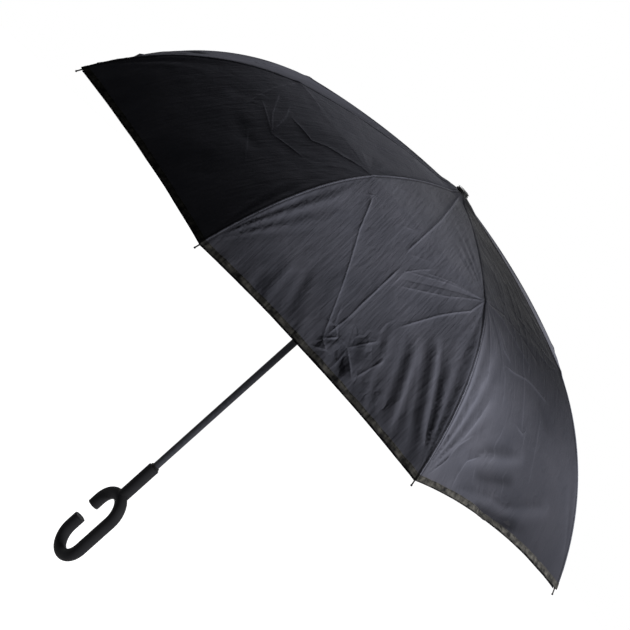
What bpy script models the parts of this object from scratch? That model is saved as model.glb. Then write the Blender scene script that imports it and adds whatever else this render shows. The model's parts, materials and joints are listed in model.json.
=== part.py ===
# Inverted double-layer umbrella, open, with a hooked C handle.
# Frame: metres, +Z up along the shaft, canopy at the top. The origin is on the shaft's axis
# where the stem meets the loop of the handle. The loop lies in the XZ plane, with its straight
# side towards +X and its open side towards -X.
#
# How it folds: eight stretchers hang from the fixed notch, and eight ribs stand on the runner.
# Each pair meets at a joint of equal arm lengths, so a rib's inner end stays on the shaft.
# Pulling the runner down turns the ribs up and outside in. The outer half of each rib is a
# flexible rod in two lengths, which straighten as the cloth lets go of them.

import math

import bmesh
import bpy
from mathutils import Matrix, Vector

# Heights on the shaft
STEM_TOP_Z = 0.068
APEX_Z = 0.668
NOTCH_DROP = 0.008

# Shaft, a steel tube
SHAFT_DIAMETER = 0.011
SHAFT_WALL = 0.0009
SHAFT_BOTTOM_Z = 0.016

# Handle: a straight stem on a C-shaped loop of the same tube size
GRIP_DIAMETER = 0.019
GRIP_EDGE = 0.0012
STEM_DIAMETER = 0.0188
STEM_EDGE = 0.0010
LOOP_BEND_RADIUS = 0.0305
LOOP_STRAIGHT = 0.059
LOOP_OFFSET = 0.0025
UPPER_ARM_LENGTH = 0.014
LOWER_ARM_LENGTH = 0.0195
COLLAR_DIAMETER = 0.0146
COLLAR_HEIGHT = 0.0036
COLLAR_EDGE = 0.0008

# Linkage
RIB_COUNT = 8
FIRST_RIB_ANGLE = math.radians(-10)
PIVOT_RADIUS = 0.011
ARM_LENGTH = 0.285
OPEN_ANGLE = math.radians(10.8)
STRETCHER_BEND = math.radians(12.9)
TIP_RADIUS = 0.520
TIP_DROP = 0.266
ROD_BEND = math.radians(42.6)

# Stretchers and ribs
BAR_HEIGHT = 0.0032
STRETCHER_WIDTH = 0.0042
FORK_SLOT = 0.0026
FORK_DEPTH = 0.012
FORK_RADIUS = 0.0021
RIVET_DIAMETER = 0.0017
RIVET_HEAD_DIAMETER = 0.0034
RIVET_HEAD_HEIGHT = 0.0007
RIB_WIDTH = 0.0020
BRACKET_LENGTH = 0.012
EYE_PLAY = 0.0003

# Rods and tips
ROD_DIAMETER = 0.0028
FLEX_GAP = 0.0006
TIP_LENGTH = 0.019
TIP_SOCKET_LENGTH = 0.009
TIP_SOCKET_DIAMETER = 0.0030
TIP_PIN_DIAMETER = 0.0020
TIP_BALL_DIAMETER = 0.0030

# Notch at the top of the shaft and runner below it
CROWN_RADIUS = 0.0135
CROWN_BELOW = 0.0042
RUNNER_CROWN_ABOVE = 0.0042
RUNNER_SLEEVE_LENGTH = 0.0150
RUNNER_SLEEVE_RADIUS = 0.0080
RUNNER_RIM_RADIUS = 0.0105
RUNNER_RIM_HEIGHT = 0.0030
SLOT_FLOOR_RADIUS = 0.0086
RING_WIRE_DIAMETER = 0.0012
GROOVE_PLAY = 0.0003
CROWN_EDGE = 0.0005

# Cap over the middle of the cloth
CAP_RADIUS = 0.0115
CAP_WAIST_RADIUS = 0.0100
CAP_HEIGHT = 0.0060
CAP_RIM_HEIGHT = 0.0015
CAP_TOP_RADIUS = 0.0060
CAP_BORE_DEPTH = 0.0034
SHAFT_ABOVE_APEX = 0.0030

# Spring catch in the shaft, below the open runner
CATCH_REACH = 0.0030
CATCH_HEIGHT = 0.0075
CATCH_WIDTH = 0.0016
CATCH_INNER_REACH = 0.0010
CATCH_FLAT = 0.0012
CATCH_GAP = 0.0005
CATCH_ANGLE = FIRST_RIB_ANGLE + math.pi / RIB_COUNT

# Cloth: outer canopy over the ribs and lining under them
CLOTH_THICKNESS = 0.0006
CLOTH_CLEARANCE = 0.0005
ROD_CLEARANCE = 0.0004
HEM_INSET = 0.009
SCALLOP = 0.009
GORE_SAG = 0.004
# Below 1, a gore sags most nearer its joint than its hem
SAG_EXPONENT = 0.8

# Clearance between neighbours that touch
GAP = 0.0003
# Overrun of a cutter past the face it cuts
OVERRUN = 0.001
# Points closer than this are one point
MERGE_DISTANCE = GAP / 100

# Shares of a run at which the cloth's rings of points lie
STRETCHER_RING_SHARES = (0.16, 0.34, 0.52, 0.70, 0.86)
ROD_RING_SHARES = (0.12, 0.26, 0.42, 0.58, 0.72, 0.86, 1.0)
LINING_RING_SHARES = (0.30, 0.62, 0.88)

# Share of the bracket's length at which it starts to follow the rod
BRACKET_BEND_SHARE = 2 / 3

# Steps round a turned piece, a ring wire, a small hole and a tube, and along bars and bends
ROUND_STEPS = 24
WIRE_STEPS = 48
WIRE_SIDES = 6
HOLE_STEPS = 12
RIVET_STEPS = 10
TIP_STEPS = 8
ROD_SIDES = 8
LOOP_SIDES = 12
LOOP_STEPS = 8
END_STEPS = 6
STRETCHER_STEPS = 6
ROD_STEPS = 5
GORE_STEPS = 4

# Points in a rib's own plane, as (distance from the shaft, height)
NOTCH_Z = APEX_Z - NOTCH_DROP
NOTCH_PIVOT = Vector((PIVOT_RADIUS, NOTCH_Z))
JOINT = NOTCH_PIVOT + ARM_LENGTH * Vector((math.cos(OPEN_ANGLE), -math.sin(OPEN_ANGLE)))
RUNNER_Z = NOTCH_Z - 2 * ARM_LENGTH * math.sin(OPEN_ANGLE)
RUNNER_PIVOT = Vector((PIVOT_RADIUS, RUNNER_Z))
TIP = Vector((TIP_RADIUS, APEX_Z - TIP_DROP))


# Points and directions on an arc that turns downwards

def arc_length(start, end, bend):
    return (end - start).length * bend / (2 * math.sin(bend / 2))


def arc_point(start, end, bend, share):
    chord = end - start
    heading = math.atan2(chord.y, chord.x) + (bend - bend * share) / 2
    radius = chord.length / (2 * math.sin(bend / 2))
    reach = 2 * radius * math.sin(bend * share / 2)
    return start + reach * Vector((math.cos(heading), math.sin(heading)))


def arc_heading(start, end, bend, share):
    chord = end - start
    return math.atan2(chord.y, chord.x) + bend / 2 - bend * share


def along(heading):
    return Vector((math.cos(heading), math.sin(heading)))


def across(heading):
    return Vector((-math.sin(heading), math.cos(heading)))


ROD_RUN = arc_length(JOINT, TIP, ROD_BEND)
FERRULE_SHARE = BRACKET_LENGTH / ROD_RUN
SOCKET_SHARE = (ROD_RUN - TIP_LENGTH) / ROD_RUN
MIDDLE_SHARE = (FERRULE_SHARE + SOCKET_SHARE) / 2


def rod_point(share):
    return arc_point(JOINT, TIP, ROD_BEND, share)


def rod_heading(share):
    return arc_heading(JOINT, TIP, ROD_BEND, share)


FERRULE = rod_point(FERRULE_SHARE)
MIDDLE = rod_point(MIDDLE_SHARE)


# Scene, materials and objects

def clear_scene():
    for old in list(bpy.data.objects):
        bpy.data.objects.remove(old, do_unlink=True)


def make_material(name, colour, roughness, metallic=0.0):
    material = bpy.data.materials.new(name)
    material.use_nodes = True
    shader = material.node_tree.nodes["Principled BSDF"]
    shader.inputs["Base Color"].default_value = (*colour, 1.0)
    shader.inputs["Roughness"].default_value = roughness
    shader.inputs["Metallic"].default_value = metallic
    material.diffuse_color = (*colour, 1.0)
    return material


def add_object(name, mesh, material, parent=None):
    obj = bpy.data.objects.new(name, mesh)
    bpy.context.collection.objects.link(obj)
    if material is not None and not mesh.materials:
        mesh.materials.append(material)
    obj.parent = parent
    return obj


def add_empty(name, location, turn=0.0, parent=None):
    empty = bpy.data.objects.new(name, None)
    bpy.context.collection.objects.link(empty)
    empty.parent = parent
    empty.location = location
    empty.rotation_euler = (0, 0, turn)
    empty.empty_display_size = CROWN_RADIUS
    return empty


def finish_mesh(bm, name, smooth_angle=math.radians(35)):
    bmesh.ops.recalc_face_normals(bm, faces=bm.faces)
    mesh = bpy.data.meshes.new(name)
    bm.to_mesh(mesh)
    bm.free()
    mesh.shade_smooth()
    mesh.set_sharp_from_angle(angle=smooth_angle)
    return mesh


# A round piece turned about the Z axis from a closed outline of (radius, height)

def turned_mesh(name, outline, steps=ROUND_STEPS):
    bm = bmesh.new()
    rings = []
    for radius, height in outline:
        if radius == 0:
            rings.append([bm.verts.new((0, 0, height))])
            continue
        ring = []
        for step in range(steps):
            turn = 2 * math.pi * step / steps
            ring.append(bm.verts.new((radius * math.cos(turn), radius * math.sin(turn), height)))
        rings.append(ring)
    closed = outline[0][0] != 0
    pairs = list(zip(rings, rings[1:]))
    if closed:
        pairs.append((rings[-1], rings[0]))
    for low, high in pairs:
        for step in range(steps):
            after = (step + 1) % steps
            corners = [low[step % len(low)], low[after % len(low)]]
            corners += [high[after % len(high)], high[step % len(high)]]
            unique = list(dict.fromkeys(corners))
            if len(unique) > 2:
                bm.faces.new(unique)
    return finish_mesh(bm, name)


# A flat plate with an outline of (distance, height) points, as wide as given along Y

def plate_mesh(name, outline, width):
    bm = bmesh.new()
    near = [bm.verts.new((point[0], -width / 2, point[1])) for point in outline]
    far = [bm.verts.new((point[0], width / 2, point[1])) for point in outline]
    bm.faces.new(near)
    bm.faces.new(far)
    for step in range(len(outline)):
        after = (step + 1) % len(outline)
        bm.faces.new((near[step], near[after], far[after], far[step]))
    bmesh.ops.triangulate(bm, faces=[face for face in bm.faces if len(face.verts) > 4])
    return finish_mesh(bm, name)


# A tube through stations in the XZ plane, each with its centre, heading and radius

def tube_mesh(name, stations, sides, smooth_angle=math.radians(35)):
    bm = bmesh.new()
    rings = []
    for centre, heading, size in stations:
        side = Vector((-heading.y, heading.x))
        ring = []
        for step in range(sides):
            turn = 2 * math.pi * (step + 0.5) / sides
            spot = centre + side * size * math.cos(turn)
            ring.append(bm.verts.new((spot.x, size * math.sin(turn), spot.y)))
        rings.append(ring)
    for low, high in zip(rings, rings[1:]):
        for step in range(sides):
            after = (step + 1) % sides
            bm.faces.new((low[step], low[after], high[after], high[step]))
    bm.faces.new(rings[0])
    bm.faces.new(rings[-1])
    return finish_mesh(bm, name, smooth_angle)


# A round rod along points in the XZ plane, with rounded ends

def rod_mesh(name, points, radius):
    stations = []
    first_heading = (points[1] - points[0]).normalized()
    last_heading = (points[-1] - points[-2]).normalized()
    end_turns = [math.radians(turn) for turn in (60, 30)]
    for turn in end_turns:
        centre = points[0] + first_heading * radius * (1 - math.sin(turn))
        stations.append((centre, first_heading, radius * math.cos(turn)))
    for index in range(len(points)):
        before = points[max(index - 1, 0)]
        after = points[min(index + 1, len(points) - 1)]
        centre = points[index]
        if index == 0:
            centre = points[0] + first_heading * radius
        if index == len(points) - 1:
            centre = points[-1] - last_heading * radius
        stations.append((centre, (after - before).normalized(), radius))
    for turn in reversed(end_turns):
        centre = points[-1] - last_heading * radius * (1 - math.sin(turn))
        stations.append((centre, last_heading, radius * math.cos(turn)))
    return tube_mesh(name, stations, ROD_SIDES)


# A blank with cutters taken out of it, carved once and shared by the copies of a piece

def carved_mesh(name, blank, cutters):
    body = add_object(name + "_blank", blank, None)
    helpers = []
    for index, mesh in enumerate(cutters):
        tool = add_object(f"{name}_cutter_{index}", mesh, None)
        helpers.append(tool)
        cut = body.modifiers.new("cut", "BOOLEAN")
        cut.operation = "DIFFERENCE"
        cut.solver = "EXACT"
        cut.object = tool
    view = bpy.context.evaluated_depsgraph_get()
    view.update()
    result = bpy.data.meshes.new_from_object(body.evaluated_get(view))
    for used in [body, *helpers]:
        bpy.data.objects.remove(used, do_unlink=True)
    bm = bmesh.new()
    bm.from_mesh(result)
    bmesh.ops.remove_doubles(bm, verts=bm.verts, dist=MERGE_DISTANCE)
    bmesh.ops.dissolve_limit(bm, angle_limit=math.radians(0.5), verts=bm.verts, edges=bm.edges)
    bmesh.ops.triangulate(bm, faces=bm.faces)
    return finish_mesh(bm, name)


def box_mesh(name, low, high):
    outline = [(low[0], low[2]), (high[0], low[2]), (high[0], high[2]), (low[0], high[2])]
    mesh = plate_mesh(name, outline, high[1] - low[1])
    mesh.transform(Matrix.Translation((0, (low[1] + high[1]) / 2, 0)))
    return mesh


# A pin or hole along Y at a point of the rib's plane
def cross_pin_mesh(name, point, radius, length, sides=HOLE_STEPS):
    outline = []
    for step in range(sides):
        turn = 2 * math.pi * (step + 0.5) / sides
        outline.append((point[0] + radius * math.cos(turn), point[1] + radius * math.sin(turn)))
    return plate_mesh(name, outline, length)


# The outline of a bar along a run of points, with a round end of its own radius at each end

def bar_outline(points, half_height, first_radius, last_radius):
    headings = []
    for index in range(len(points)):
        before = points[max(index - 1, 0)]
        after = points[min(index + 1, len(points) - 1)]
        headings.append((after - before).normalized())

    def round_end(centre, heading, radius, flip):
        turned = []
        for step in range(END_STEPS + 1):
            turn = math.pi / 2 - math.pi * step / END_STEPS
            side = Vector((-heading.y, heading.x))
            turned.append(centre + flip * (heading * math.cos(turn) + side * math.sin(turn)) * radius)
        return turned

    upper, lower = [], []
    for point, heading in list(zip(points, headings))[1:-1]:
        side = Vector((-heading.y, heading.x))
        upper.append(point + side * half_height)
        lower.append(point - side * half_height)
    tail = round_end(points[-1], headings[-1], last_radius, 1)
    nose = round_end(points[0], headings[0], first_radius, -1)
    return upper + tail + lower[::-1] + nose


# Stretcher: from its eye on the notch to its fork round the joint, in notch coordinates

def stretcher_mesh():
    end_share = FORK_RADIUS * 2 / ARM_LENGTH
    shares = [0.0, end_share]
    shares += [step / STRETCHER_STEPS for step in range(1, STRETCHER_STEPS)]
    shares += [1 - end_share, 1.0]
    points = []
    for share in shares:
        points.append(arc_point(NOTCH_PIVOT, JOINT, STRETCHER_BEND, share) - NOTCH_PIVOT)
    joint = JOINT - NOTCH_PIVOT
    outline = bar_outline(points, BAR_HEIGHT / 2, BAR_HEIGHT / 2, FORK_RADIUS)
    blank = plate_mesh("stretcher_bar", outline, STRETCHER_WIDTH)
    heading = along(arc_heading(NOTCH_PIVOT, JOINT, STRETCHER_BEND, 1.0))
    side = Vector((-heading.y, heading.x))
    corners = []
    for reach, lift in ((-FORK_DEPTH, -1), (FORK_DEPTH, -1), (FORK_DEPTH, 1), (-FORK_DEPTH, 1)):
        corners.append(joint + heading * reach + side * lift * (FORK_RADIUS + OVERRUN))
    slot = plate_mesh("fork_slot", corners, FORK_SLOT)
    length = STRETCHER_WIDTH + 2 * OVERRUN
    eye = cross_pin_mesh("stretcher_eye", (0, 0), RING_WIRE_DIAMETER / 2 + EYE_PLAY, length)
    hole = cross_pin_mesh("fork_hole", joint, RIVET_DIAMETER / 2 + EYE_PLAY, length, RIVET_STEPS)
    return carved_mesh("stretcher", blank, [slot, eye, hole])


# Rivet: a shank through the fork and the rib, with a head outside each cheek, in notch coordinates

def rivet_mesh():
    shank = RIVET_DIAMETER / 2
    head = RIVET_HEAD_DIAMETER / 2
    under = STRETCHER_WIDTH / 2 + GAP
    top = under + RIVET_HEAD_HEIGHT
    outline = [(0, -top), (head, -top), (head, -under), (shank, -under)]
    outline += [(shank, under), (head, under), (head, top), (0, top)]
    mesh = turned_mesh("joint_rivet", outline, RIVET_STEPS)
    joint = JOINT - NOTCH_PIVOT
    mesh.transform(Matrix.Translation((joint.x, 0, joint.y)) @ Matrix.Rotation(math.pi / 2, 4, "X"))
    return mesh


# Rib: from its eye on the runner, past the joint, to the ferrule, in joint coordinates

def rib_mesh():
    inner = RUNNER_PIVOT - JOINT
    heading = rod_heading(FERRULE_SHARE)
    end_radius = BAR_HEIGHT / 2
    last = FERRULE - JOINT - along(heading) * (FLEX_GAP / 2 + end_radius)
    shoulder = inner.normalized() * FORK_RADIUS
    points = [inner, inner * (1 - BAR_HEIGHT / ARM_LENGTH), shoulder, Vector((0, 0))]
    points += [last * BRACKET_BEND_SHARE, last]
    blank = plate_mesh("rib_bar", bar_outline(points, BAR_HEIGHT / 2, end_radius, end_radius), RIB_WIDTH)
    length = RIB_WIDTH + 2 * OVERRUN
    eye = cross_pin_mesh("rib_eye", inner, RING_WIRE_DIAMETER / 2 + EYE_PLAY, length)
    hole = cross_pin_mesh("rivet_hole", (0, 0), RIVET_DIAMETER / 2 + EYE_PLAY, length, RIVET_STEPS)
    return carved_mesh("rib", blank, [eye, hole])


# The two lengths of flexible rod, each in the coordinates of the point it bends about

def rod_length_mesh(name, first_share, last_share, origin):
    gap_share = FLEX_GAP / 2 / ROD_RUN
    run_share = last_share - first_share - 2 * gap_share
    points = []
    for step in range(ROD_STEPS + 1):
        share = first_share + gap_share + run_share * step / ROD_STEPS
        points.append(rod_point(share) - origin)
    return rod_mesh(name, points, ROD_DIAMETER / 2)


# Tip: a socket on the rod's end, a pin and a small ball, turned along the rod's heading

def tip_mesh():
    run = TIP_LENGTH - FLEX_GAP / 2
    ball_radius = TIP_BALL_DIAMETER / 2
    pin_radius = TIP_PIN_DIAMETER / 2
    socket_radius = TIP_SOCKET_DIAMETER / 2
    ball_centre = run - ball_radius
    outline = [(0, 0), (socket_radius, 0), (socket_radius, TIP_SOCKET_LENGTH)]
    outline.append((pin_radius, TIP_SOCKET_LENGTH + socket_radius - pin_radius))
    outline.append((pin_radius, ball_centre - ball_radius))
    for turn in (0, math.radians(45)):
        outline.append((ball_radius * math.cos(turn), ball_centre + ball_radius * math.sin(turn)))
    outline.append((0, run))
    mesh = turned_mesh("tip", outline, TIP_STEPS)
    heading = rod_heading((SOCKET_SHARE + 1) / 2)
    start = rod_point(SOCKET_SHARE) + along(heading) * FLEX_GAP / 2 - MIDDLE
    turn = Matrix.Rotation(math.pi / 2 - heading, 4, "Y")
    mesh.transform(Matrix.Translation((start.x, 0, start.y)) @ turn)
    return mesh


# Notch and runner crowns: turned bodies with a groove for the ring and a slot for each arm

def crown_slots(name, width, low, high):
    cutters = []
    for index in range(RIB_COUNT):
        slot = box_mesh(f"{name}_slot_{index}", (SLOT_FLOOR_RADIUS, -width / 2, low),
                        (CROWN_RADIUS + OVERRUN, width / 2, high))
        slot.transform(Matrix.Rotation(FIRST_RIB_ANGLE + 2 * math.pi * index / RIB_COUNT, 4, "Z"))
        cutters.append(slot)
    return cutters


def ring_groove(outer_radius):
    half = RING_WIRE_DIAMETER / 2 + GROOVE_PLAY
    floor = PIVOT_RADIUS - half
    return [(outer_radius, -half), (floor, -half), (floor, half), (outer_radius, half)]


def notch_mesh():
    bore = SHAFT_DIAMETER / 2 + GAP
    top = NOTCH_DROP - CLOTH_THICKNESS - GAP
    outline = [(bore, -CROWN_BELOW), (CROWN_RADIUS - CROWN_EDGE, -CROWN_BELOW)]
    outline.append((CROWN_RADIUS, CROWN_EDGE - CROWN_BELOW))
    outline += ring_groove(CROWN_RADIUS)
    outline += [(CROWN_RADIUS, top - CROWN_EDGE), (CROWN_RADIUS - CROWN_EDGE, top), (bore, top)]
    blank = turned_mesh("notch_blank", outline)
    width = STRETCHER_WIDTH + 2 * GAP
    slots = crown_slots("notch", width, -CROWN_BELOW - OVERRUN, BAR_HEIGHT / 2 + GAP)
    return carved_mesh("top_notch", blank, slots)


def runner_mesh():
    bore = SHAFT_DIAMETER / 2 + GAP
    foot = -CROWN_BELOW - RUNNER_SLEEVE_LENGTH
    outline = [(bore, foot), (RUNNER_RIM_RADIUS - CROWN_EDGE, foot)]
    outline += [(RUNNER_RIM_RADIUS, foot + CROWN_EDGE), (RUNNER_RIM_RADIUS, foot + RUNNER_RIM_HEIGHT)]
    outline += [(RUNNER_SLEEVE_RADIUS, foot + RUNNER_RIM_HEIGHT), (RUNNER_SLEEVE_RADIUS, -CROWN_BELOW)]
    outline += [(CROWN_RADIUS - CROWN_EDGE, -CROWN_BELOW), (CROWN_RADIUS, CROWN_EDGE - CROWN_BELOW)]
    outline += ring_groove(CROWN_RADIUS)
    outline.append((CROWN_RADIUS, RUNNER_CROWN_ABOVE - CROWN_EDGE))
    outline += [(CROWN_RADIUS - CROWN_EDGE, RUNNER_CROWN_ABOVE), (bore, RUNNER_CROWN_ABOVE)]
    blank = turned_mesh("runner_blank", outline)
    width = RIB_WIDTH + 2 * GAP
    slots = crown_slots("runner", width, -BAR_HEIGHT / 2 - GAP, RUNNER_CROWN_ABOVE + OVERRUN)
    return carved_mesh("runner", blank, slots)


# A closed wire ring about the Z axis

def ring_mesh(name):
    radius = RING_WIRE_DIAMETER / 2
    outline = []
    for step in range(WIRE_SIDES):
        turn = 2 * math.pi * step / WIRE_SIDES
        outline.append((PIVOT_RADIUS + radius * math.cos(turn), radius * math.sin(turn)))
    return turned_mesh(name, outline, WIRE_STEPS)


# Cap: waisted disc with a blind bore over the shaft's end

def cap_mesh():
    bore = SHAFT_DIAMETER / 2 + GAP
    low = APEX_Z + GAP
    high = APEX_Z + CAP_HEIGHT
    outline = [(bore, low), (CAP_RADIUS, low), (CAP_RADIUS, low + CAP_RIM_HEIGHT)]
    outline += [(CAP_WAIST_RADIUS, low + CAP_RIM_HEIGHT + CROWN_EDGE)]
    outline += [(CAP_WAIST_RADIUS, high - CAP_RIM_HEIGHT - CROWN_EDGE)]
    outline += [(CAP_RADIUS, high - CAP_RIM_HEIGHT), (CAP_TOP_RADIUS, high), (0, high)]
    outline.reverse()
    outline += [(bore, low + CAP_BORE_DEPTH), (0, low + CAP_BORE_DEPTH)]
    return turned_mesh("top_cap", outline)


# Shaft with a slot for the catch

CATCH_TOP_Z = RUNNER_Z - CROWN_BELOW - RUNNER_SLEEVE_LENGTH - CATCH_GAP
CATCH_LOW_Z = CATCH_TOP_Z - CATCH_HEIGHT


def shaft_mesh():
    outer = SHAFT_DIAMETER / 2
    inner = outer - SHAFT_WALL
    top = APEX_Z + SHAFT_ABOVE_APEX
    outline = [(inner, SHAFT_BOTTOM_Z), (outer, SHAFT_BOTTOM_Z), (outer, top), (inner, top)]
    blank = turned_mesh("shaft_blank", outline)
    slot = box_mesh("catch_slot", (0, -CATCH_WIDTH / 2 - GAP, CATCH_LOW_Z - GAP),
                    (outer + OVERRUN, CATCH_WIDTH / 2 + GAP, CATCH_TOP_Z + GAP))
    slot.transform(Matrix.Rotation(CATCH_ANGLE, 4, "Z"))
    return carved_mesh("shaft_tube", blank, [slot])


# Catch: a thin plate that stands out under the open runner and slopes away below, with its
# origin on the shaft's axis at its upper edge

def catch_mesh():
    outer = SHAFT_DIAMETER / 2 + CATCH_REACH
    flush = SHAFT_DIAMETER / 2 - SHAFT_WALL
    outline = [(-CATCH_INNER_REACH, -CATCH_HEIGHT), (flush, -CATCH_HEIGHT)]
    outline += [(outer, -CATCH_FLAT), (outer, 0), (-CATCH_INNER_REACH, 0)]
    return plate_mesh("shaft_catch", outline, CATCH_WIDTH)


# Handle: loop, stem and collar

def loop_line():
    middle_x = -LOOP_OFFSET
    upper = Vector((middle_x, -LOOP_BEND_RADIUS))
    lower = Vector((middle_x, -LOOP_BEND_RADIUS - LOOP_STRAIGHT))
    points = [upper + Vector((-LOOP_BEND_RADIUS, -UPPER_ARM_LENGTH))]
    for middle, first_turn in ((upper, math.pi), (lower, 0)):
        for step in range(LOOP_STEPS + 1):
            points.append(middle + LOOP_BEND_RADIUS * along(first_turn - math.pi * step / LOOP_STEPS))
    points.append(lower + Vector((-LOOP_BEND_RADIUS, LOWER_ARM_LENGTH)))
    return points


# A tube of the grip's size along the loop, thicker by an allowance where it cuts the stem
def loop_mesh(name, allowance=0.0):
    radius = GRIP_DIAMETER / 2 + allowance
    points = loop_line()
    first = (points[1] - points[0]).normalized()
    last = (points[-1] - points[-2]).normalized()
    stations = [(points[0], first, radius - GRIP_EDGE), (points[0] + first * GRIP_EDGE, first, radius)]
    for index in range(1, len(points) - 1):
        heading = (points[index + 1] - points[index - 1]).normalized()
        stations.append((points[index], heading, radius))
    stations += [(points[-1] - last * GRIP_EDGE, last, radius), (points[-1], last, radius - GRIP_EDGE)]
    return tube_mesh(name, stations, LOOP_SIDES, math.radians(50))


def stem_mesh():
    outer = STEM_DIAMETER / 2
    bore = SHAFT_DIAMETER / 2 + GAP
    floor = SHAFT_BOTTOM_Z - GAP
    outline = [(0, 0), (outer, 0), (outer, STEM_TOP_Z - STEM_EDGE), (outer - STEM_EDGE, STEM_TOP_Z)]
    outline += [(bore, STEM_TOP_Z), (bore, floor), (0, floor)]
    blank = turned_mesh("stem_blank", outline)
    return carved_mesh("handle_stem", blank, [loop_mesh("saddle", GAP)])


def collar_mesh():
    outer = COLLAR_DIAMETER / 2
    bore = SHAFT_DIAMETER / 2 + GAP
    low = STEM_TOP_Z + GAP
    high = low + COLLAR_HEIGHT
    outline = [(bore, low), (outer, low), (outer, high - COLLAR_EDGE)]
    outline += [(outer - COLLAR_EDGE, high), (bore, high)]
    return turned_mesh("stem_collar", outline)


# Cloth: how far the flats between its rings fall inside the arc that they follow

def flat_fall(run, bend, steps):
    step_bend = bend / steps
    return run / bend * (1 - math.cos(step_bend / 2))


# Rings of the outer cloth in a rib's plane, from the hole to the hem, raised by an extra
def outer_rings(hem_inset, extra):
    middle_z = APEX_Z - CLOTH_THICKNESS + extra
    bar_keep = FORK_RADIUS + CLOTH_CLEARANCE + extra
    points = [Vector((SHAFT_DIAMETER / 2 + GAP, middle_z)), Vector((CROWN_RADIUS, middle_z))]
    for share in STRETCHER_RING_SHARES:
        heading = arc_heading(NOTCH_PIVOT, JOINT, STRETCHER_BEND, share)
        points.append(arc_point(NOTCH_PIVOT, JOINT, STRETCHER_BEND, share) + across(heading) * bar_keep)
    heading = (arc_heading(NOTCH_PIVOT, JOINT, STRETCHER_BEND, 1.0) + rod_heading(0)) / 2
    points.append(JOINT + across(heading) * bar_keep)
    rod_keep = BAR_HEIGHT / 2 + ROD_CLEARANCE + flat_fall(ROD_RUN, ROD_BEND, len(ROD_RING_SHARES))
    hem_share = 1 - hem_inset / ROD_RUN
    for share in ROD_RING_SHARES:
        spot = share * hem_share
        points.append(rod_point(spot) + across(rod_heading(spot)) * (rod_keep + extra))
    return points


# Rings of the lining in a rib's plane, from the runner to the hem, lowered by an extra
def lining_rings(hem_inset, extra):
    drop = FORK_RADIUS + CLOTH_CLEARANCE + extra
    heading = math.atan2(JOINT.y - RUNNER_PIVOT.y, JOINT.x - RUNNER_PIVOT.x)
    start_share = (CROWN_RADIUS + GAP - PIVOT_RADIUS) / (JOINT.x - PIVOT_RADIUS)
    bar_drop = BAR_HEIGHT / 2 + CLOTH_CLEARANCE + extra
    points = []
    for share in (start_share, *LINING_RING_SHARES):
        spot = RUNNER_PIVOT.lerp(JOINT, share)
        points.append(Vector((spot.x, spot.y - bar_drop / math.cos(heading))))
    under = JOINT - Vector((0, 1)) * (drop / math.cos((heading - rod_heading(0)) / 2))
    points.append(under)
    rod_keep = BAR_HEIGHT / 2 + ROD_CLEARANCE
    hem_share = 1 - hem_inset / ROD_RUN
    for share in ROD_RING_SHARES:
        spot = share * hem_share
        points.append(rod_point(spot) - across(rod_heading(spot)) * (rod_keep + extra))
    return points


# A point of a rib's plane, turned to an angle about the shaft
def turned(point, turn):
    return Vector((point.x * math.cos(turn), point.x * math.sin(turn), point.y))


# A closed shell over eight gores: straight across from rib to rib, drawn in a little between
# them past the first sagging ring, with round rings at its middle and a scalloped hem
def cloth_mesh(name, rings, round_rings, first_sagging):
    columns = RIB_COUNT * GORE_STEPS
    bm = bmesh.new()
    skins = []
    for extra in (0.0, CLOTH_THICKNESS):
        skin = []
        for column in range(columns):
            rib, step = divmod(column, GORE_STEPS)
            across_share = step / GORE_STEPS
            bulge_share = 4 * across_share * (1 - across_share)
            profile = rings(HEM_INSET + SCALLOP * bulge_share, extra)
            near = FIRST_RIB_ANGLE + 2 * math.pi * rib / RIB_COUNT
            far = near + 2 * math.pi / RIB_COUNT
            strip = []
            for index, point in enumerate(profile):
                spot = turned(point, near).lerp(turned(point, far), across_share)
                if index < round_rings:
                    spot = turned(point, near + (far - near) * across_share)
                reach_share = max(0, index - first_sagging) / (len(profile) - 1 - first_sagging)
                sag = GORE_SAG * bulge_share * math.sin(math.pi * reach_share ** SAG_EXPONENT)
                after = profile[min(index + 1, len(profile) - 1)]
                before = profile[max(index - 1, 0)]
                slope = (after - before).normalized()
                inward = turned(Vector((slope.y, -slope.x)), (near + far) / 2)
                strip.append(bm.verts.new(spot + inward * sag))
            skin.append(strip)
        skins.append(skin)
    lower, upper = skins
    rows = len(lower[0])
    for column in range(columns):
        after = (column + 1) % columns
        for row in range(rows - 1):
            for skin in skins:
                near, far = skin[column], skin[after]
                bm.faces.new((near[row], near[row + 1], far[row + 1], far[row]))
        for row in (0, rows - 1):
            bm.faces.new((lower[column][row], upper[column][row], upper[after][row], lower[after][row]))
    bmesh.ops.triangulate(bm, faces=bm.faces)
    return finish_mesh(bm, name)


# Assembly

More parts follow.
